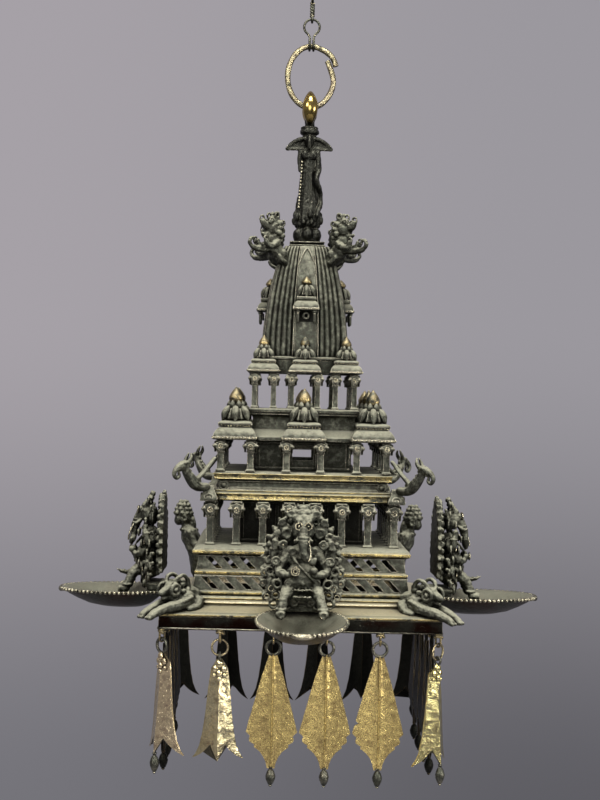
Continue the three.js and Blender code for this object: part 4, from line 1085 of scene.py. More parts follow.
def column(shape, x, y, half, foot, top):
    """A square shaft under a cushion with a lozenge leaf, an eye and side lobes on every face."""
    cap = min((top - foot) * 0.34, half * 3.7)
    neck = top - cap
    shape.square([(half * 1.3, foot - 0.4), (half * 1.3, foot + 1.2), (half * 0.92, foot + 2.4),
                  (half * 0.86, neck - 1.6), (half * 1.15, neck - 1.2), (half * 1.15, neck - 0.4),
                  (half * 0.95, neck)], (x, y))
    shape.square([(half * 0.9, neck - 1), (half * 1.2, neck + cap * 0.25), (half * 1.45, neck + cap * 0.6),
                  (half * 1.2, neck + cap * 0.8), (half * 1.35, neck + cap * 0.9), (half * 1.35, top - 0.2),
                  (half * 1.2, top)], (x, y))
    middle = neck + cap * 0.42
    wide = half * 2.1
    leaf = Shape().plate(scaled(LOZENGE, wide, middle, cap), 1.8)
    leaf.ring((0, -1, middle), half * 0.56, half * 0.2, "Y", 6, 14, slot=BEAD)
    leaf.ball((0, -1.2, middle), half * 0.28, sides=8, rings=6, slot=BEAD)
    for hand in HANDS:
        lobe = (hand * wide * 0.92, 0.3, middle + cap * 0.04)
        leaf.ball(lobe, (half * 0.34, half * 0.5, half * 0.42), sides=8)
    leaf.pushed(-half * 1.5)
    for k in range(4):
        shape.join(leaf, Matrix.Translation((x, y, 0)) @ turned(90 * k))


# The rolled step over a kiosk's eave, as shares of its half width and thickness
ROLL = ((0.5, -0.3), (0.62, 0), (0.72, 0.12), (0.77, 0.36), (0.76, 0.62), (0.68, 0.88), (0.54, 1.0),
        (0.2, 1.0))


def kiosk_roof(shape, x, y, half, foot, total, bead):
    """A beaded eave, a rolled and beaded step, drooping petals, and a gold bud in a ring of bronze buds."""
    eave(shape, x, y, half, foot, total * 0.27, half * 0.6, bead)
    step = foot + total * 0.25
    thick = total * 0.11
    shape.square(scaled(ROLL, half, step, thick), (x, y))
    shape.beads(spread(square_row(x, y, half * 0.71, step + thick * 0.1), bead * 2.6), bead * 0.85, slot=BEAD)
    petal_dome(shape, x, y, step + thick * 0.95, total * 0.26, half * 0.62, 6)
    tip(shape, x, y, foot + total * 0.6, total * 0.4, half * 0.33)
    for turn in circle(6):
        bud_x, bud_y = x + half * 0.27 * math.cos(turn), y + half * 0.27 * math.sin(turn)
        tip(shape, bud_x, bud_y, foot + total * 0.56, total * 0.2, half * 0.15, slot=0)


# Half widths of the open floors' inner edges, above and below the cornice, and of the kiosks
SHAFT = 30
WELL = 50
UPPER_KIOSK = 15
MIDDLE_KIOSK = 20
# Heights of the columns, the upper deck's height over its roof's foot, and the lower columns' spacing
UPPER_COLUMN = 33
MIDDLE_COLUMN = 28
LOWER_COLUMN = 39
UPPER_DECK = 14.5
COLUMN_PITCH = 23.6


class LAMP_OT_upper_storey(bpy.types.Operator):
    """Make the upper roof with its eight kiosks and the gallery under it"""

    bl_idname = "lamp.upper_storey"
    bl_label = "Upper storey"

    def execute(self, context):
        bead = sizes().bead / MM
        roof_foot, roof_top = low("upper_roof").z, high("upper_roof").z
        deck = roof_foot + UPPER_DECK
        roof = Shape()
        roof.band([(44.5, deck), (44.5, deck - 2), (43, deck - 3), (43, roof_foot), (SHAFT, roof_foot),
                   (SHAFT, deck)])
        for x, y in around(high("upper_roof").x - UPPER_KIOSK):
            kiosk_roof(roof, x, y, UPPER_KIOSK, roof_foot, roof_top - roof_foot, bead * 0.55)
        roof_skirt(roof, 38.9, deck, 44, deck - 1)
        dress("upper_roof", "upper_kiosks", roof, STOREY_METALS, edge=FINEST_EDGE)
        top, foot = high("upper_gallery").z, low("upper_gallery").z
        half = high("upper_gallery").x
        floor = top - UPPER_COLUMN
        drum = off(half, floor, (-1, 0), (0, -1), (0, -3.4), (-2, -4.4), (-1.4, -5.6), (-3, -6.8), (-4, -9))
        drum += [(47, floor - 11), (47, foot + 4), (47.8, foot + 2.4), (47.8, foot), (41.5, foot)]
        gallery = Shape().band(drum + [(41.5, floor - 4), (SHAFT, floor - 4), (SHAFT, floor)])
        for x, y in column_places((12, 28.5, 46)):
            column(gallery, x, y, 2.7, floor, top)
        dress("upper_gallery", "upper_columns", gallery, STOREY_METALS, edge=FINEST_EDGE)
        return {"FINISHED"}


def roof_skirt(shape, inner, top, outer, foot):
    """A sloped band from an inner to an outer square."""
    shape.band([(inner, top + 1), (outer, foot), (outer, foot - 1), (inner, foot - 1)])


class LAMP_OT_middle_storey(bpy.types.Operator):
    """Make the middle roof with its eight kiosks, its gallery on the brass ledge and the walls behind"""

    bl_idname = "lamp.middle_storey"
    bl_label = "Middle storey"

    def execute(self, context):
        foot, top = low("middle_roof").z, high("middle_roof").z
        roof = Shape().band(off(0, foot, (70, 4), (71, 3), (71, 0), (SHAFT, 0), (SHAFT, 4)))
        roof_skirt(roof, 48.5, foot + 9, 69, foot + 3.6)
        for x, y in around(high("middle_roof").x - MIDDLE_KIOSK):
            kiosk_roof(roof, x, y, MIDDLE_KIOSK, foot, top - foot, sizes().bead / MM * 0.8)
        dress("middle_roof", "middle_kiosks", roof, STOREY_METALS, edge=FINE_EDGE)
        top = high("middle_gallery").z
        ledge = high("middle_gallery").x
        floor = top - MIDDLE_COLUMN
        edge = off(ledge, floor, (-3, 0), (-2.4, -1.2))
        gallery = Shape().band(edge + [(SHAFT, floor - 1.2), (SHAFT, floor)])
        rise = off(ledge, floor, (-2.6, -1), (-0.5, -1.4), (0, -2.2), (-0.9, -3.2), (-1.2, -5.8),
                   (-0.7, -6.6), (-2.4, -7.6))
        gallery.band(rise + [(SHAFT, floor - 7.6), (SHAFT, floor - 1)], slot=LEDGE)
        for x, y in column_places((15.5, 48, 75)):
            column(gallery, x, y, 3.2, floor, top)
        dress("middle_gallery", "middle_columns", gallery, STOREY_METALS, slot="worn_brass", edge=FINE_EDGE)
        walls = cella("middle_cella", 9.8, 0.3, 0.34)
        dress("middle_cella", "middle_walls", walls, STOREY_METALS, edge=FINE_EDGE)
        return {"FINISHED"}


def cella(node, door, above, below):
    """Walls with a framed door on every side; above and below it, shares of the height are wall."""
    half, top, foot = high(node).x, high(node).z, low(node).z
    tall = top - foot
    head, sill = top - tall * above, foot + tall * below
    thick, frame_half = 3.0, 1.1
    inside = -half + thick / 2
    side = Shape()
    pier = (half - door) / 2
    for hand in HANDS:
        side.block((hand * (door + pier), inside, (top + foot) / 2), (pier, thick / 2, tall / 2))
    side.block((0, inside, (top + head) / 2), (door, thick / 2, (top - head) / 2))
    side.block((0, inside, (sill + foot) / 2), (door, thick / 2, (sill - foot) / 2))
    for grow, out in ((3.0, 1.6), (5.4, 1.0), (7.8, 0.5)):
        y = -half - out / 2
        rise = (head + grow * 0.5 - foot) / 2
        for hand in HANDS:
            side.block((hand * (door + grow), y, foot + rise), (frame_half, out / 2 + 0.6, rise))
        side.block((0, y, head + grow * 0.5), (door + grow + frame_half, out / 2 + 0.6, frame_half * 0.8))
    side.block((0, -half - 0.4, foot + 1.4), (half, 0.9, 1.4))
    side.block((0, -half - 0.4, top - 1.6), (half, 0.9, 1.2))
    shape = Shape()
    for k in range(4):
        shape.join(side, turned(90 * k))
    return shape


# The cornice's ledge, and how far the beasts stand off its corner
LEDGE_HALF = 84
BEAST_STEP = 7.5


def makara():
    """A beast that rises from the cornice's corner, with a curled snout and a strut to the column."""
    corner = (LEDGE_HALF + BEAST_STEP) * math.sqrt(2)
    level = high("cornice").z
    shape = Figure((0, -corner, level))
    shape.limb((0, -5, -6, 5), (0, 2, -6, 5.2), (0, 9, -3, 5), (0, 15, 4, 4.6), (0, 18.6, 10.6, 4.4),
               flat=0.8)
    shape.ball((0, 19.6, 13.4), (4.2, 5.2, 4.8))
    shape.limb((0, 21.6, 14, 3.9), (0, 26, 12.4, 3.1), (0, 30, 9.4, 2.4), (0, 31.4, 5.6, 2),
               (0, 28.8, 2.6, 1.8), (0, 25.6, 4, 1.6), (0, 26.2, 7, 1.3))
    shape.limb((0, 21.4, 10.6, 2), (0, 24.4, 9.4, 1.3), (0, 25.4, 10.2, 0.9))
    for shape.side in HANDS:
        shape.ball((3.4, 21.4, 15.4), 1.6)
        shape.limb((2.6, 17, 16, 2), (3, 14.6, 20, 1.7), (1.6, 13.6, 24, 0.9))
        shape.limb((2.6, 15, 8, 1.1), (4, 11, 4, 1), (4, 6, 0, 0.8))
        shape.limb((3.6, 4, -4, 1.4), (4.4, 9, 0, 1.2), (4, 13, 6, 0.9))
    shape.limb((0, 10, -3, 3), (0, -2, 6, 2.6), (0, -16, 19, 2.2), flat=0.8)
    for k in range(7):
        t = k / 6
        shape.ball((0, 1 + 14 * t, -0.6 + 13 * t * t), (1.6, 1.7, 1.8))
    return shape


class LAMP_OT_makaras(bpy.types.Operator):
    """Make the four curled beasts at the cornice's corners"""

    bl_idname = "lamp.makaras"
    bl_label = "Makaras"

    def execute(self, context):
        voxel = sizes().voxel * 0.7
        beast = cast("makara_pattern", makara(), ["dark bronze"], voxel=voxel, rough=0.4, grain=4.0)
        repeat(beast, [(f"beast_{c}", f"makara_{c}", 45 + 90 * k) for k, c in enumerate(CORNERS)])
        return {"FINISHED"}


class LAMP_OT_cornice(bpy.types.Operator):
    """Make the cornice: a recessed band with mouldings, a brass ledge and corner knobs"""

    bl_idname = "lamp.cornice"
    bl_label = "Cornice"

    def execute(self, context):
        top, foot = high("cornice").z, low("cornice").z
        recess = off(0, top, (76, 0), (76.6, -1.5), (75.4, -2.4), (75.4, -6), (76.6, -7), (77, -10.5),
                     (WELL, -10.5), (WELL, 0))
        shape = Shape().band(recess)
        fillet = off(0, top, (77.4, -8.4), (78.6, -9.2), (78.6, -10.4), (70, -10.4), (70, -8.4))
        shape.band(fillet, slot=LEDGE)
        ledge = off(0, top, (81, -10.4), (83.6, -11.2), (LEDGE_HALF, -12.2), (83, -13.2), (82.8, -16),
                    (83.4, -17))
        shape.band(ledge + [(81.5, foot), (WELL, foot), (WELL, top - 10.4)], slot=LEDGE)
        post = Shape()
        knob = off(0, foot, (7.6, 0), (7.8, 2), (7.2, 4), (5.6, 7.6), (4.6, 11)) + [(4.2, top - 5)]
        post.square(knob, (LEDGE_HALF, -LEDGE_HALF))
        for x, y, axis in ((71.5, -75.6, "Y"), (75.6, -71.5, "X")):
            post.ring((x, y, top - 5), 3.6, 1.5, axis, 8, 24)
            post.ball((x, y, top - 5), 2.8)
        post.ring((90.6, -LEDGE_HALF, foot + 3.6), 2.6, 1.2, "X")
        post.ring((LEDGE_HALF, -90.6, foot + 3.6), 2.6, 1.2, "Y")
        for k in range(4):
            shape.join(post, turned(90 * k))
        dress("cornice", "cornice_band", shape, STOREY_METALS, edge=0.3 * MM)
        return {"FINISHED"}


class LAMP_OT_lower_storey(bpy.types.Operator):
    """Make the lower gallery on its brass-edged slab and the framed walls behind it"""

    bl_idname = "lamp.lower_storey"
    bl_label = "Lower storey"

    def execute(self, context):
        top, foot = high("lower_gallery").z, low("lower_gallery").z
        slab = high("lower_gallery").x
        floor = top - LOWER_COLUMN
        edge = off(slab, floor, (-6, 0), (-2, -1.6), (-0.6, -3.4), (-6, -3.6))
        shape = Shape().band(edge + [(WELL, floor - 3.6), (WELL, floor)])
        brass = off(slab, floor, (-1, -3.2), (0, -4.2), (0, -6.6))
        shape.band(brass + [(slab - 2, foot), (WELL, foot), (WELL, floor - 3.2)], slot=LEDGE)
        for x, y in column_places([COLUMN_PITCH * (k + 0.5) for k in range(4)]):
            column(shape, x, y, 3.5, floor, top)
        dress("lower_gallery", "lower_columns", shape, STOREY_METALS, edge=FINE_EDGE)
        walls = cella("lower_cella", 15, 0.18, 0.1)
        # The lower walls are near-black bronze: painted shade behind the columns
        dress("lower_cella", "lower_walls", walls, ["sooty bronze"], edge=FINE_EDGE)
        return {"FINISHED"}


# Base


def slot_cutter(half, top, count):
    """Slanting slots beside the middle of each side."""
    first, pitch, lean, level = 17, 15, 5.0, top - 6.8
    shape = Shape()
    for side in range(4):
        for k in range(count):
            for hand in HANDS:
                x = hand * (half - first - pitch * k)
                outline = off(x, level, (-2.9 - lean, 5.2), (2.6 - lean, 5.2), (2.9 + lean, -5.2),
                              (-2.6 + lean, -5.2))
                slot = Shape().plate(outline, 24)
                slot.pushed(-half)
                shape.join(slot, turned(90 * side))
    return shape


def pierced_tier(name, node, count):
    """A flared wall with slanting slots, painted near black inside as shade, and a brass lip."""
    top, foot, half = high(node).z, low(node).z, high(node).x
    outside = [(half - 3.4, top), (half - 3.2, top - 2), (half - 1.9, foot + 4.4)]
    wall = Shape().band(outside + [(half - 5.6, foot + 4.4), (half - 6.6, top)])
    materials = [metal(kind) for kind in STOREY_METALS]
    thing = linked(name, mesh_of(name, wall, materials))
    cutter = linked("cutter", mesh_of("cutter", slot_cutter(half, top, count), materials))
    modify(thing, "BOOLEAN", operation="DIFFERENCE", solver="EXACT", object=cutter)
    settle(thing)
    bpy.data.objects.remove(cutter)
    modify(thing, "BEVEL", width=sizes().edge, segments=2, limit_method="ANGLE")
    settle(thing)
    # Painted shade: inward faces and the slots' sides take near-black bronze
    thing.data.materials.append(metal("sooty bronze"))
    for face in thing.data.polygons:
        spot = face.center / MM
        outward = face.normal.y * spot.y if abs(spot.y) > abs(spot.x) else face.normal.x * spot.x
        if outward < 0.2 * max(abs(spot.x), abs(spot.y)) and foot + 1 < spot.z < top - 0.6:
            face.material_index = len(materials)
    thing.data.shade_smooth()
    thing.data.set_sharp_from_angle(angle=math.radians(40))
    fit(thing, node)
    lip = Shape()
    lip.band(off(half, foot, (-2.2, 4.6), (-0.3, 3.2), (0, 1.6), (-0.8, 0), (-7, 0), (-7, 4.6)), slot=LEDGE)
    lip.band(off(half, top, (-3.0, 0), (-2.8, -1.2), (-6.6, -1.2), (-6.6, 0)))
    dress(node, f"{name}_lip", lip, STOREY_METALS, edge=FINE_EDGE)


class LAMP_OT_plinth(bpy.types.Operator):
    """Make the two pierced tiers of the plinth"""

    bl_idname = "lamp.plinth"
    bl_label = "Plinth"

    def execute(self, context):
        pierced_tier("tier_upper", "plinth_tier_upper", 3)
        pierced_tier("tier_lower", "plinth_tier_lower", 4)
        return {"FINISHED"}


# The tray's inner edge, how far its brass rim stands out, and its heights from the top down
TRAY_INSIDE = 88
RIM_STEP = 1.5
TRAY_MOULDING = 8
TRAY_SLOPE = 4.5
APRON = 14.5
# Spacing of the eyelets along a side, how far in from the rim, and their wire
EYELET_PITCH = 46.6
EYELET_INSET = 5.0
EYELET_WIRE = 0.9
EYELET_BOW = 2.7


def pendant_places():
    """Name, turn and spot of every pendant's pivot."""
    plane = high("base_tray").x - EYELET_INSET
    pivot = low("base_tray").z + EYELET_WIRE + EYELET_BOW
    found = []
    for s, side in enumerate(SIDES):
        for k in range(4):
            spot = turned(90 * s) @ Vector(((k - 1.5) * EYELET_PITCH, -plane, pivot))
            found.append((f"{side}_{k + 1}", 90 * s, spot))
        found.append((f"corner_{s + 1}", 90 * s + 45, turned(90 * s) @ Vector((plane, -plane, pivot))))
    return found


def eyelet(leg_top):
    """A wire staple about its pivot, with a turned knot where it leaves the apron."""
    wire = 0.95
    path = [(0, -EYELET_BOW, leg_top, wire)]
    for k in range(9):
        turn = math.pi * k / 8
        path.append((0, -EYELET_BOW * math.cos(turn), -EYELET_BOW * math.sin(turn), wire))
    path.append((0, EYELET_BOW, leg_top, wire))
    shape = Shape().tube(catmull(path, 3), 8)
    shape.ring((0, 0, leg_top - 2.6), 3.0, 1.1, "Z", 8, 20)
    shape.ball((0, 0, leg_top - 0.8), (4.2, 4.2, 1.8))
    shape.ball((2.6, -1.6, leg_top - 3.6), 1.7)
    shape.ball((-2.4, 1.4, leg_top - 3.4), 1.5)
    return shape


class LAMP_OT_base(bpy.types.Operator):
    """Make the base tray with its mouldings, rim, apron and wire eyelets"""

    bl_idname = "lamp.base"
    bl_label = "Base"

    def execute(self, context):
        top = high("base_tray").z
        half = high("base_tray").x - RIM_STEP
        slope = top - TRAY_MOULDING
        rim = slope - TRAY_SLOPE
        foot = rim - APRON
        tray = Shape()
        lip = off(0, top, (100.6, 0), (101, -0.6), (102.4, -1.8), (101.2, -3.2), (TRAY_INSIDE, -3.2),
                  (TRAY_INSIDE, 0))
        tray.band(lip, slot=LEDGE)
        mouldings = off(0, top, (101, -3), (101.2, -3.8), (102.9, -5), (102.9, -6.2), (101.4, -7.4))
        mouldings += [(101.6, slope), (112, slope - 1.8), (half - 2.4, rim + 0.4), (half - 2.4, rim - 1.6)]
        tray.band(mouldings + [(TRAY_INSIDE, slope - 4), (TRAY_INSIDE, top - 3)])
        tray.band(off(half, rim, (-3.2, 0.8), (-0.4, 0.5), (1.3, -0.5), (1.5, -1.6), (0.6, -2.9), (-4, -2.9)),
                  slot=LEDGE)
        apron = off(half, rim, (-0.4, -2.4), (-0.2, -6)) + off(half, foot, (0, 1.5), (-0.6, 0), (-7, 0))
        tray.band(apron + [(half - 7, rim - 3)], slot=1)
        metals = ("slope bronze", "stained bronze", "rubbed brass")
        dress("base_tray", "base_body", tray, metals, edge=sizes().edge)
        row = [(*spot, 0.9) for spot in square_row(0, 0, half + 0.2, foot + 1.3)]
        edge = Shape().tube(row[:-1], 6, looped=True, slot=1)
        for _, turn, spot in pendant_places():
            edge.join(eyelet(foot + 1 - spot.z), Matrix.Translation(spot) @ turned(turn))
        dress("base_tray", "base_eyelets", edge, ["eyelet brass", "stained bronze"], rough=0.3, grain=3.0)
        return {"FINISHED"}


def dish_outline(scale, z, back, reach, half):
    """The blunt leaf outline of a dish with its tip outwards, scaled about the middle of its bowl."""
    middle = (reach + back) / 2
    bowl = middle - (reach - back) * 0.14
    points = []
    for turn in circle(96):
        out = middle + (reach - back) / 2 * math.cos(turn)
        side = math.sin(turn)
        across = half * math.copysign(abs(side) ** 0.85, side) * (1 - 0.1 * math.cos(turn))
        points.append(Vector((across * scale, -(bowl + (out - bowl) * scale), z)))
    return points


def dish():
    """A leaf-shaped oil dish with a hollow bowl, a flat edge and a rim of bright beads."""
    top, foot = high("oil_dish_front").z, low("oil_dish_front").z
    reach, back = -low("oil_dish_front").y, -high("oil_dish_front").y
    half = 38.0
    bowl = ((0.25, 1.0), (0.42, 0.97), (0.6, 0.82), (0.76, 0.56), (0.88, 0.32), (0.965, 0.12), (1.0, 0.0),
            (0.97, -0.02), (0.89, 0.04), (0.78, 0.22), (0.64, 0.46), (0.46, 0.68), (0.26, 0.8), (0.06, 0.83))
    depths = [(scale, top - (top - foot) * down) for scale, down in bowl]
    shape = Shape().loft([dish_outline(scale, z, back, reach, half) for scale, z in depths])
    rim = [p for p in dish_outline(1.0, top - 0.7, back, reach, half) if -p.y > back + 5]
    rim.sort(key=lambda p: math.atan2(p.x, -(p.y + (reach + back) / 2)))
    shape.beads(spread(rim, 4.3), 1.9, slot=1)
    shape.limb((-9, -reach + 3, top - 1.6, 1.6), (-4, -reach + 0.6, top - 1.8, 2.7),
               (4, -reach + 0.6, top - 1.8, 2.7), (9, -reach + 3, top - 1.6, 1.6), slot=1)
    return shape


# The front dish's tip hangs a little
DISH_TILT = math.radians(3.4)


class LAMP_OT_dishes(bpy.types.Operator):
    """Make the four leaf-shaped oil dishes"""

    bl_idname = "lamp.dishes"
    bl_label = "Oil dishes"

    def execute(self, context):
        pattern = cast("dish_pattern", dish(), ["dish bronze", "bead brass"], sharp=60)
        back = high("oil_dish_front")
        hinge = Matrix.Translation((0, back.y * MM, back.z * MM))
        for k, side in enumerate(SIDES):
            piece = copied(pattern, f"dish_{side}", 90 * k)
            if side == "front":
                piece.data.transform(hinge @ Matrix.Rotation(DISH_TILT, 4, "X") @ hinge.inverted())
            fit(piece, f"oil_dish_{side}")
        bpy.data.objects.remove(pattern)
        return {"FINISHED"}


# Figures


def taper(turn):
    """How much the seated figure's plate draws in towards its top."""
    return 1 - 0.28 * max(0.0, math.cos(turn)) ** 2


def flame_outline(half, tall, lobes, rows, foot):
    """A round-topped plate with pointed flames along its edge."""
    outline = []
    for i in range(lobes * rows + 1):
        turn = math.radians(-125 + 250 * i / (lobes * rows))
        wave = 0.5 + 0.5 * math.cos(2 * math.pi * (i / rows) + math.pi)
        flame = 0.93 + 0.12 * wave**1.5
        across = half * flame * math.sin(turn) * taper(turn)
        outline.append((across, foot + tall * (0.44 + 0.52 * flame * math.cos(turn))))
    return outline


def seat():
    """A figure at the back of the front dish, on its rim."""
    dish_back = high("oil_dish_front")
    return Figure((0, dish_back.y - 1.2, dish_back.z + 0.3))


# Rings and knobs over a seated figure: across, out, up and size
CURLS = ((24, 18, 7, 3.6), (30, 14, 13, 3.4), (22.5, 20, 15, 3), (27, 16, 21, 3.2), (33, 12, 24, 2.8),
         (21, 21, 23.5, 2.8), (32, 12, 33, 3), (26, 16, 29, 2.8), (13, 20, 6, 3.2), (7, 22, 9, 3))
SCROLLS = ((17, 20, 58, 3), (23, 22, 44, 3.2), (26.5, 17, 20, 3.4), (12, 27, 26, 2.8), (9, 26, 53, 2.4),
           (17, 25, 34, 2.8), (28, 14, 44, 3), (11, 17, 84, 2.4), (18, 14, 76.5, 2.6))


def deity():
    """A seated figure with an elephant's head and four arms, a leaf lamp and a flame-edged plate."""
    shape = seat()
    plate = Shape().plate(flame_outline(35, 93, 23, 8, shape.spot[2] + 2), 3.4)
    plate.pushed(shape.spot[1] - 3)
    shape.join(plate)
    for i in range(30):
        turn = math.radians(-122 + 244 * i / 29)
        x, z = 31.5 * math.sin(turn) * taper(turn), 92 * (0.44 + 0.5 * math.cos(turn)) + 1.5
        shape.ball((x, 5.6, z), (2.6, 2.4, 2.8))
        for share_in, big in ((0.87, 2.3), (0.73, 2.0)):
            inner = (x * share_in, 6.2, 41 + (z - 41) * share_in)
            if (i + round(share_in * 10)) % 2:
                shape.ring(inner, big, 1.0)
            else:
                shape.ball(inner, (big, 2.2, big * 1.2))
    shape.block(shape.at(0, 4, 3.2), (22, 12, 3.2))
    shape.block(shape.at(0, -9.5, -0.6), (19, 8, 6.4))
    shape.ball((0, 17.5, 29), (16, 12.5, 14.5))
    shape.ball((0, 29.6, 25.5), (1.5, 1, 1.5))
    shape.ball((0, 14, 47), (14, 9.5, 12))
    shape.ball((0, 17.5, 71), (10, 9, 9.6))
    for shape.side in HANDS:
        shape.ball((3.4, 19.5, 78), (4.2, 4.6, 4))
        shape.ball((14.5, 12.5, 67.5), (6.8, 2.4, 8.6), (14, "Y"))
        shape.ring((14.5, 14.4, 67), 3.8, 1.3, "Y", 6, 18)
        shape.ball((4, 24.6, 74.5), (3, 2, 3))
        shape.limb((4.6, 25, 64, 1.8), (6.6, 29, 61.5, 1.5), (7.6, 31.5, 63, 0.9))
        shape.ring((24, 17, 53.5), 3.2, 1.3)
        shape.ring((21.5, 24, 25), 3.6, 1.3)
        shape.ring((28, 16, 35), 3.4, 1.3)
        shape.ball((28, 15, 26), (3.6, 3, 4.2))
        shape.limb((11, 13, 52, 5), (17, 13, 48, 4.6), (23, 15, 45.5, 3.9),
                   (25.6, 17, 51, 3.1), (24.4, 18.5, 57, 2.8))
        shape.limb((12, 14, 49, 4.8), (18.5, 18, 41, 4), (20, 22, 34, 3.5),
                   (13, 27.5, 33, 3), (8.6, 30, 34.5, 2.8))
        shape.ring((19.6, 13, 50), 4.9, 0.9, "X", 6, 16)
        shape.ring((25, 17.4, 54), 3.4, 0.8, "Z")
        shape.limb((5, 14, 17, 8), (11, 20, 19.5, 7), (13.6, 28, 17, 5.2),
                   (16, 32.6, 10, 4.4), (18, 35.4, 4, 3.8))
        shape.ring((17.6, 34.8, 5), 4.3, 0.9, "Z")
        for x, out, up, big in CURLS:
            shape.ring((x, out, up), big, 1.35)
            shape.ball((x + 3, out - 2, up + 3), 1.9)
        shape.ball((18, 37.6, 0.8), (4.6, 5.2, 3.8))
        shape.ring((18, 42.2, 0.8), 2.4, 1.1)
        shape.ball((18, 41.8, 0.8), 1.3)
    shape.ball((-23.8, 18.6, 60), (3.2, 3.2, 3.4))
    shape.limb((-23.8, 19, 56, 1.3), (-21.4, 19, 70, 1.2))
    shape.ball((-22.6, 19, 67.6), (3.4, 1.3, 3.2))
    shape.ball((23.8, 18.6, 59.6), (3.2, 3.2, 3.2))
    for a in circle(7):
        shape.ball((22.4 + 2.6 * math.cos(a), 18.6, 64.5 + 2.6 * math.sin(a)), (1.6, 1.6, 1.6))
    shape.ball((-8.6, 31, 36.6), (3.2, 3, 2.6))
    shape.ball((8.8, 31.4, 37.4), (3.8, 3.4, 3.6))
    shape.limb((0, 24.5, 71, 5), (0, 28.6, 63, 4.3), (0.5, 30.6, 55, 3.8), (3.2, 31.6, 48, 3.2),
               (7.5, 32.4, 44.4, 2.8), (9.8, 32.6, 46.8, 2.1))
    for k in range(6):
        shape.ring((0.1 * k, 28 + 0.6 * k, 65 - 2.6 * k), 4.4 - 0.2 * k, 0.6, "Z", 5, 14)
    for row in range(3):
        for k in range(7 - row):
            a = math.radians((k - (6 - row) / 2) * 21)
            reach = 9.4 - 1.6 * row
            spot = (reach * math.sin(a), 13 + 7 * math.cos(a) - 2.4 * row, 80.5 + 4.4 * row)
            shape.ball(spot, (2.2, 2, 2.5))
            if (k + row) % 2:
                shape.ring(spot, 2.6, 1.0)
    for shape.side in HANDS:
        for x, out, up, big in SCROLLS:
            shape.ring((x, out, up), big, 1.2)
            shape.ball((x, out, up), big * 0.42)
    for k in range(13):
        a = math.radians(-78 + 13 * k)
        shape.ball((11.6 * math.sin(a), 17 + 8.2 * math.cos(a), 54 - 7 * math.cos(a)), 1.15)
    for k in range(15):
        a = math.radians(-84 + 12 * k)
        shape.ball((16 * math.sin(a), 17.5 + 12.6 * math.cos(a), 20.5), (1.4, 1.3, 1.5))
    shape.limb((-10, 22, 50, 1.2), (-2, 30, 40, 1.1), (8, 29.6, 30, 1.1), (14, 22, 22, 1.1))
    rim = ((0, 22, 14), (6, 30, 14.4), (6.6, 36, 15), (0, 46.5, 16.5), (-6.6, 36, 15), (-6, 30, 14.4))
    dense = [Vector(p) for p in catmull([shape.at(*p) for p in rim], 6, True)]
    middle = Vector(shape.at(0, 33, 13.4))
    levels = ((0.3, -2.6), (0.75, -1.9), (1.0, 0.4), (0.9, 1.0), (0.6, -0.5), (0.1, -1.2))
    shape.loft([[middle.lerp(p, f) + Vector((0, 0, z)) for p in dense] for f, z in levels])
    shape.beads([p + Vector((0, 0, 0.6)) for p in dense[::2]], 0.95)
    return shape


def deity_glints():
    """The eyes, tusk, sweet and curls of a seated figure in bright brass: rubbed metal that also stands as
    painted highlights.
    """
    shape = seat()
    for shape.side in HANDS:
        shape.ring((4, 27.4, 74.5), 3.0, 0.75, "Y", 6, 20)
        shape.ball((4, 27.2, 74.5), 1.2)
        shape.ring((18, 42.4, 0.8), 2.3, 0.7, "Y", 6, 16)
        shape.ring((24.2, 19.2, 45), 2.4, 0.6, "Y", 6, 16)
        shape.ball((17, 22.8, 58), 1.1)
        shape.ring((30, 16.2, 13), 2.2, 0.5, "Y", 6, 16)
        shape.ring((26.6, 20.2, 20.5), 2.2, 0.5, "Y", 6, 16)
    shape.limb((4.4, 30.6, 62, 0.9), (6, 33.6, 56, 0.9), (6.2, 35.4, 50, 0.8), (4.6, 36, 46, 0.7))
    shape.ring((-6.4, 34.4, 37), 3.4, 0.7, "Y", 6, 18)
    shape.ring((-6.4, 35.2, 37), 1.7, 0.6)
    return shape


class LAMP_OT_deities(bpy.types.Operator):
    """Make the four seated figures behind the dishes"""

    bl_idname = "lamp.deities"
    bl_label = "Seated figures"

    def execute(self, context):
        voxel = sizes().voxel * 0.85
        pattern = cast("deity_pattern", deity(), ["figure bronze"], voxel=voxel, rough=1.7, grain=5.0)
        glints = cast("glint_pattern", deity_glints(), ["bead brass"])
        for k, side in enumerate(SIDES):
            fit(copied(pattern, f"seated_{side}", 90 * k), f"deity_{side}")
            fit(copied(glints, f"seated_{side}_glints", 90 * k), f"deity_{side}")
        bpy.data.objects.remove(pattern)
        bpy.data.objects.remove(glints)
        return {"FINISHED"}


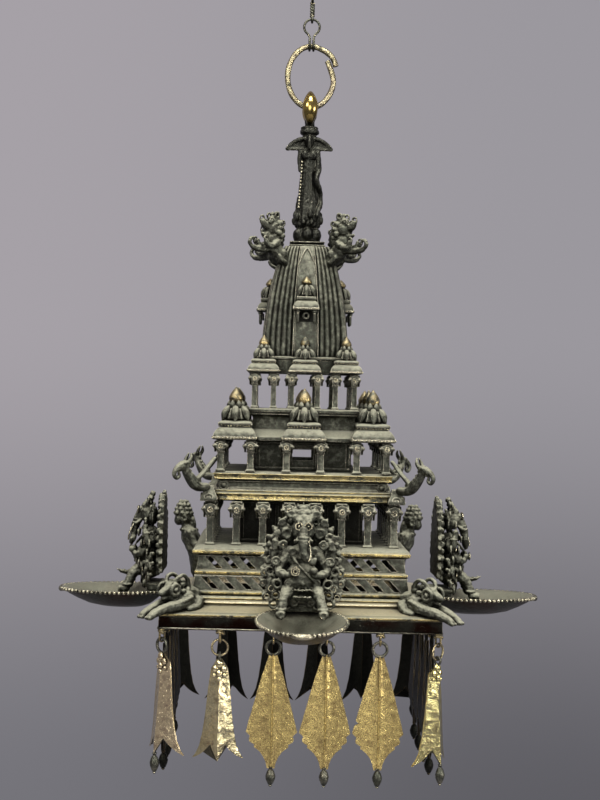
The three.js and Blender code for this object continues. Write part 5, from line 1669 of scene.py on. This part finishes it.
def corner_lion():
    """A crouching lion on the base's corner, with a spiral boss for its eye and a foreleg over the rim."""
    corner = (high("base_tray").x - RIM_STEP) * math.sqrt(2)
    level = high("base_tray").z - TRAY_MOULDING - TRAY_SLOPE
    shape = Figure((0, -corner, level))
    shape.limb((0, -44, 10, 8), (0, -34, 13, 9.5), (0, -24, 13, 9), (0, -16, 13, 7), flat=0.95)
    shape.ball((0, -15, 19), (7.4, 8, 7.4))
    shape.limb((0, -12, 19.4, 5.2), (0, -6.5, 17.6, 4), (0, -3, 16.6, 3))
    shape.limb((0, -11, 13.4, 3.4), (0, -5, 12, 2.2))
    for turn in range(0, 360, 40):
        a = math.radians(turn)
        shape.ball((8.6 * math.cos(a), -21, 18 + 8.4 * math.sin(a)), (2.4, 3, 2.4))
        shape.ball((7.6 * math.cos(a + 0.3), -27, 16 + 8.8 * math.sin(a + 0.3)), (2.4, 2.8, 2.4))
    for shape.side in HANDS:
        shape.ring((8.2, -12, 19.5), 4.8, 1.7, "X", 8, 24)
        shape.ball((8.8, -12, 19.5), (2.4, 2.2, 2.2))
        shape.limb((5, -13, 25, 2), (7, -16, 30, 1.9), (7, -22, 31.6, 1.9),
                   (6.4, -27, 28, 2), (6, -29, 22, 2.4))
        shape.ball((9.4, -26, 11), (4.6, 7, 7))
        shape.ring((13.4, -26, 11), 3, 1.2, "X")
        shape.limb((9.4, -24, 8, 5.6), (9, -13, 6, 5), (7, -2, 4.2, 4.4),
                   (5.4, 8, 1, 3.8), (5, 13, -1.6, 3.4))
        for toe in (-2.2, 0, 2.2):
            shape.ball((5 + toe * shape.side, 15.4, -2.8), (1.4, 2.4, 1.8))
        shape.limb((13, -17, 9.4, 1.8), (14.6, -26, 13, 1.7))
        shape.limb((10, -38, 8, 5), (14, -32, 4, 4), (14, -24, 2.4, 3))
    return shape


class LAMP_OT_corner_lions(bpy.types.Operator):
    """Make the two lions on the base's front corners"""

    bl_idname = "lamp.corner_lions"
    bl_label = "Corner lions"

    def execute(self, context):
        voxel = sizes().voxel * 0.8
        figure = corner_lion()
        lion = cast("corner_lion_pattern", figure, ["figure bronze"], voxel=voxel, rough=1.2, grain=5.0)
        turns = (("front_right", 45), ("front_left", -45))
        repeat(lion, [(f"crouching_{corner}", f"base_lion_{corner}", turn) for corner, turn in turns])
        return {"FINISHED"}


def attendant():
    """A bearded, curly-haired attendant on the rear right corner, both hands on the slab."""
    edge = high("lower_gallery").x
    level = high("base_tray").z - 6
    shape = Figure((edge, edge + 6, level), out=1)
    shape.limb((4, 9, 1, 7.4), (5, 6, 12, 8), (8, 5, 26, 8.8), (14, 5, 40, 9.6), (17, 6, 47, 6.4))
    for a in circle(7):
        x, y = math.cos(a), math.sin(a)
        shape.limb((4 + 6 * x, 8 + 6 * y, 2, 2.4), (7 + 6.5 * x, 6 + 6.5 * y, 22, 2))
    shape.limb((17, 6, 47, 4), (19, 6, 54, 3.8))
    shape.ball((20, 5.4, 59), (8, 8, 8.8))
    shape.ball((25.6, 5.4, 56), (5, 7, 6.4))
    shape.limb((13.4, 5.4, 55.5, 4.4), (11, 5.2, 50, 3.8), (10.6, 5.2, 45.6, 2.2))
    shape.ball((11.6, 5.3, 59), (1.7, 1.6, 2.4))
    shape.lathe([(0.3, 62), (8.2, 62), (7.4, 67), (5.4, 72), (0.3, 76)], 18, (21, 5.6))
    for row, (up, reach, count) in enumerate(((62.5, 8.4, 9), (66.5, 7.4, 8), (70.5, 5.8, 7), (74, 3.4, 5))):
        for k in range(count):
            a = 2 * math.pi * (k + 0.5 * (row % 2)) / count
            shape.ball((21 + reach * math.cos(a), 5.6 + reach * math.sin(a), up), 2.3)
    for a in circle(8):
        shape.ball((15 + 8 * math.cos(a), 5.4 + 8 * math.sin(a), 45.5), 1.9)
    for hand in HANDS:
        y = 5 + hand * 8.5
        shape.limb((14, y, 43, 4), (9, y - 1, 34, 3.3), (4, y - 4, 28, 2.9), (-1.5, y - 7, 30.5, 2.5))
        shape.ball((-3.6, y - 8, 31.6), (2.8, 2.4, 2))
        shape.ring((5.6, y - 3.4, 29.6), 3.4, 0.8, "X")
        shape.ring((19.6, 5.4 + hand * 8, 57.5), 2.6, 1.2)
    return shape


class LAMP_OT_attendants(bpy.types.Operator):
    """Make the two attendants on the base's rear corners"""

    bl_idname = "lamp.attendants"
    bl_label = "Attendants"

    def execute(self, context):
        voxel = sizes().voxel
        figure = cast("standing_right", attendant(), ["figure bronze"], voxel=voxel, rough=1.3, grain=4.5)
        other = copied(figure, "standing_left", 0)
        other.data.transform(Matrix.Scale(-1, 4, (1, 0, 0)))
        other.data.flip_normals()
        fit(figure, "attendant_rear_right")
        fit(other, "attendant_rear_left")
        return {"FINISHED"}


# Pendants


def bent_plate(rows, edge, ridge, fold):
    """A thin plate with a middle ridge, from left, right and level rows; fold bends its sides back."""
    columns = 16
    rings = []
    for left, right, z in rows:
        front, behind = [], []
        for k in range(columns + 1):
            x = left + (right - left) * (k / columns)
            reach = abs(x) / max(max(abs(left), abs(right)), 0.1)
            thick = edge + (ridge - edge) * max(0.0, 1 - reach * 3.2)
            back = fold * abs(x)
            front.append((x, -thick / 2 + back, z))
            behind.append((x, thick / 2 + back, z))
        rings.append(front + behind[::-1])
    return Shape().loft(rings)


def along(stops, t):
    """The value at a place in rows of place and value."""
    for (a, first), (b, last) in zip(stops, stops[1:]):
        if t <= b:
            return first + (last - first) * (t - a) / (b - a)
    return stops[-1][1]


# Half widths in millimetres at shares of the way down a pendant's plate
LEAF = [(0.0, 3.2), (0.1, 6.4), (0.21, 9.8), (0.34, 13.4), (0.45, 16.2), (0.54, 18.6), (0.62, 20.8),
        (0.69, 22.4), (0.705, 21.0), (0.725, 18.6), (0.75, 19.6), (0.775, 19.2), (0.79, 16.6), (0.8, 14.8),
        (0.82, 15.2), (0.835, 13.0), (0.86, 9.8), (0.9, 6.6), (0.95, 4.4), (1.0, 3.4)]
FORK = [(0.0, 2.4), (0.1, 7.5), (0.27, 9.4), (0.55, 11.7), (0.74, 13.9), (0.87, 16.4), (0.95, 19.4),
        (1.0, 22.5)]
# The drop's profile as shares of its radius and height, and the knobs in relief: across, level and radius
DROP = ((0.3, 1.0), (0.5, 0.96), (0.34, 0.86), (0.7, 0.76), (1.0, 0.52), (0.9, 0.36), (0.55, 0.16),
        (0.3, 0.1), (0.36, 0.05), (0.05, 0.0))
KNOBS = ((0, -4, 3.0), (-3.4, -8.5, 2.7), (3.4, -8.5, 2.7), (0, -12, 2.6), (-4.4, -14, 1.8), (4.4, -14, 1.8),
         (0, -17, 1.8))


def pendant_tip(shape, top, height, radius):
    return shape.lathe(scaled(DROP, radius, top - height, height), 16, slot=1)


def plate_eye(shape):
    """The wide ring over a pendant's plate."""
    shape.ring((0, 0, -6.2), 6.2, 1.35, "Y", 10, 32, slot=1)


def leaf_pendant(bite):
    """A pointed leaf on its eye, with scalloped shoulders and a drop. Its pivot is at zero."""
    shape = Shape()
    plate_eye(shape)
    top, tall = -11.6, 100.0
    rows = []
    for k in range(101):
        down = k / 100
        half = along(LEAF, down)
        nick = 3.2 * math.exp(-(((down - 0.6) / 0.012) ** 2)) if bite else 0
        rows.append((nick - half, half, top - tall * down))
    shape.join(bent_plate(rows, 1.5, 3.2, 0.18))
    vein = [(0, -1.9, top - 1, 1.0), (0, -2.1, top - 40, 0.8), (0, -2.1, top - 80, 0.7),
            (0, -1.6, top - 98, 0.7)]
    shape.tube(vein, 6)
    pendant_tip(shape, top - 98, 18, 4.4)
    return shape


def fork_pendant(top, relief, drop):
    """A plate with three tips, folded back along its middle, with or without relief and a drop."""
    tall, notch, lean = 88.0, 14.0, 5.4
    fold = math.tan(math.radians(30))
    shape = Shape()
    rings = []
    for j in range(61):
        front, behind = [], []
        for k in range(41):
            u = -1 + k / 20
            reach = abs(u)
            rise = (reach / 0.42) ** 0.85 if reach < 0.42 else ((1 - reach) / 0.58) ** 1.25
            z = top - (tall - notch * rise) * j / 60
            down = (top - z) / tall
            half = along(FORK, down)
            x = u * half
            back = fold * abs(x) * min(down / 0.1, 1) - lean * down
            back += 0.5 * math.sin(5 * down + 3 * u)
            front.append((x, back - 0.7, z))
            behind.append((x, back + 0.7, z))
        rings.append(front + behind[::-1])
    shape.loft(rings)
    if relief:
        for x, z, r in KNOBS:
            shape.ball((x, -1.3 + 0.35 * abs(x), top + z), (r, 1.5, r * 1.15))
    if drop:
        shape.join(pendant_tip(Shape(), top - tall + 1, 19, 4.2).pushed(-lean))
    return shape


# Metals of the bright pendants, bodies of the wire rings, and how far those let their pendants down
LEAF_METALS = {"front_1": "pale leaf", "front_2": "ochre leaf", "front_3": "ochre leaf",
               "front_4": "ochre leaf", "corner_1": "green leaf", "corner_4": "dull leaf"}
WIRE_RINGS = {"front_1": "front_ring", "corner_1": "corner_ring"}
RING_DROP = 14.0


def pendant(name):
    """The plate with its eye at a place, hanging from zero."""
    ringed = name in WIRE_RINGS
    if not name.startswith(("corner", "rear")) and name != "front_1":
        return leaf_pendant(name == "front_4")
    top = -3.2 if ringed else -11.4
    shape = fork_pendant(top, ringed or name == "corner_4", name.startswith("corner"))
    if ringed:
        shape.ring((0, 0, -0.8), 3.2, 1.1, "X", 8, 24, slot=1)
    else:
        plate_eye(shape)
    return shape


class LAMP_OT_pendants(bpy.types.Operator):
    """Make the twenty pendants and the two wire rings"""

    bl_idname = "lamp.pendants"
    bl_label = "Pendants"

    def execute(self, context):
        for name, turn, spot in pendant_places():
            place = Matrix.Translation(spot) @ turned(turn)
            drop = Matrix.Translation((0, 0, -RING_DROP if name in WIRE_RINGS else 0))
            kind = LEAF_METALS.get(name, "dark leaf")
            drop_kind = "drop bronze" if name in LEAF_METALS else kind
            leaf = Shape().join(pendant(name), drop @ place)
            dress(f"pendant_{name}", f"leaf_{name}", leaf, [kind, drop_kind], name, "leaf_brass", rough=0.5,
                  grain=6.0, sharp=50)
            if name in WIRE_RINGS:
                ring = Shape().join(Shape().ring((0, 0, -7), 7, 1.05, "Y", 10, 36), place)
                body = WIRE_RINGS[name]
                dress(f"wire_ring_{name}", f"wire_{name}", ring, ["ring brass"], body, "bright_brass")
        return {"FINISHED"}


# Stage


def soft_lamp(name, place, width, power, tone):
    """A square soft light aimed at the middle of the lamp."""
    data = bpy.data.lights.new(name, "AREA")
    data.shape = "RECTANGLE"
    data.size = width
    data.size_y = width
    data.energy = power
    data.color = tone
    thing = linked(name, data)
    thing.location = place
    thing.rotation_euler = (Vector(LAMP_MIDDLE) - thing.location).to_track_quat("-Z", "Y").to_euler()


# The camera's place across and in height, its turn and its film, and the floor, in metres and millimetres
CAMERA_ACROSS = -0.0275
CAMERA_LEVEL = -0.415
CAMERA_TURN = math.radians(1.0)
FILM_WIDTH = 36.0
FLOOR_LEVEL = -1160
FLOOR_RADIUS = 1200
LAMP_MIDDLE = (0, 0, -0.4)
# Name, place and width in metres, power in watts and tone of each soft lamp
SOFT_LAMPS = (
    ("key", (-1.05, -1.3, 0.45), 0.6, 15, (1.0, 0.99, 0.96)),
    ("right", (1.5, -1.0, -0.3), 0.6, 21, (1.0, 0.99, 0.97)),
    ("top", (0.05, -0.5, 0.7), 0.5, 15, (1.0, 1.0, 0.99)),
    ("front", (-0.15, -1.75, -0.15), 0.8, 10, (1.0, 1.0, 0.98)),
)


class LAMP_OT_stage(bpy.types.Operator):
    """Make the camera, the soft lamps, the pale floor and the air behind"""

    bl_idname = "lamp.stage"
    bl_label = "Stage"

    def execute(self, context):
        stage = context.scene.lamp_stage
        camera = linked("camera", bpy.data.cameras.new("camera"))
        camera.data.lens = stage.lens
        camera.data.sensor_width = FILM_WIDTH
        camera.location = (CAMERA_ACROSS, -stage.distance, CAMERA_LEVEL)
        camera.rotation_euler = (math.pi / 2, stage.roll, -CAMERA_TURN)
        context.scene.camera = camera
        context.scene.view_settings.view_transform = "Standard"
        plain("pale floor", stage.ground)
        disc = off(0, FLOOR_LEVEL, (0.2, -5), (FLOOR_RADIUS, -5), (FLOOR_RADIUS, 0), (0.2, 0))
        cast("floor", Shape().lathe(disc, 96), ["pale floor"])
        for lamp in SOFT_LAMPS:
            soft_lamp(*lamp)
        self.air(stage)
        return {"FINISHED"}

    def air(self, stage):
        world = bpy.data.worlds.new("air")
        bpy.context.scene.world = world
        graph = Graph(world)
        way = graph.add("ShaderNodeSeparateXYZ", None, {0: graph.add("ShaderNodeTexCoord")["Generated"]})
        # The air behind is painted with the fall of light on a backdrop: lighter high up and on the left,
        # darker low down and on the right
        height = way["Z"].between(-0.27, 0.06)
        aside = way["X"].between(-0.2, 0.2)
        left = graph.mix(height, stage.air_low_left, stage.air_high_left)
        right = graph.mix(height, stage.air_low_right, stage.air_high_right)
        tone = graph.mix(aside, left, right)
        rays = graph.add("ShaderNodeLightPath")
        seen = rays["Is Camera Ray"].most(rays["Is Glossy Ray"])
        behind = graph.add("ShaderNodeBackground", None, {"Color": tone, "Strength": 1.0})
        around_it = graph.add("ShaderNodeBackground", None, {"Color": (0.5, 0.49, 0.5), "Strength": 0.3})
        sockets = {0: seen, 1: around_it["Background"], 2: behind["Background"]}
        mixed = graph.add("ShaderNodeMixShader", None, sockets)
        graph.add("ShaderNodeOutputWorld", None, {"Surface": mixed["Shader"]})


STEPS = (
    LAMP_OT_stage,
    LAMP_OT_chain,
    LAMP_OT_hanger,
    LAMP_OT_spire,
    LAMP_OT_spire_lions,
    LAMP_OT_upper_storey,
    LAMP_OT_middle_storey,
    LAMP_OT_makaras,
    LAMP_OT_cornice,
    LAMP_OT_lower_storey,
    LAMP_OT_plinth,
    LAMP_OT_base,
    LAMP_OT_dishes,
    LAMP_OT_deities,
    LAMP_OT_corner_lions,
    LAMP_OT_attendants,
    LAMP_OT_pendants,
)


class LAMP_PT_panel(bpy.types.Panel):
    """Sizes, colours and steps of the lamp"""

    bl_idname = "LAMP_PT_panel"
    bl_label = "Temple lamp"
    bl_space_type = "VIEW_3D"
    bl_region_type = "UI"
    bl_category = "Temple Lamp"

    def draw(self, context):
        for group in (context.scene.lamp_sizes, context.scene.lamp_finish, context.scene.lamp_stage):
            box = self.layout.box()
            for key in group.__annotations__:
                box.prop(group, key)
        for step in STEPS:
            self.layout.operator(step.bl_idname)


CLASSES = (LampFinish, LampSizes, LampStage, *STEPS, LAMP_PT_panel)


def register():
    for made in CLASSES:
        bpy.utils.register_class(made)
    bpy.types.Scene.lamp_finish = bpy.props.PointerProperty(type=LampFinish)
    bpy.types.Scene.lamp_sizes = bpy.props.PointerProperty(type=LampSizes)
    bpy.types.Scene.lamp_stage = bpy.props.PointerProperty(type=LampStage)


def unregister():
    del bpy.types.Scene.lamp_stage
    del bpy.types.Scene.lamp_sizes
    del bpy.types.Scene.lamp_finish
    for made in reversed(CLASSES):
        bpy.utils.unregister_class(made)


def main():
    register()
    for step in STEPS:
        group, action = step.bl_idname.split(".")
        getattr(getattr(bpy.ops, group), action)()


if __name__ == "__main__":
    main()
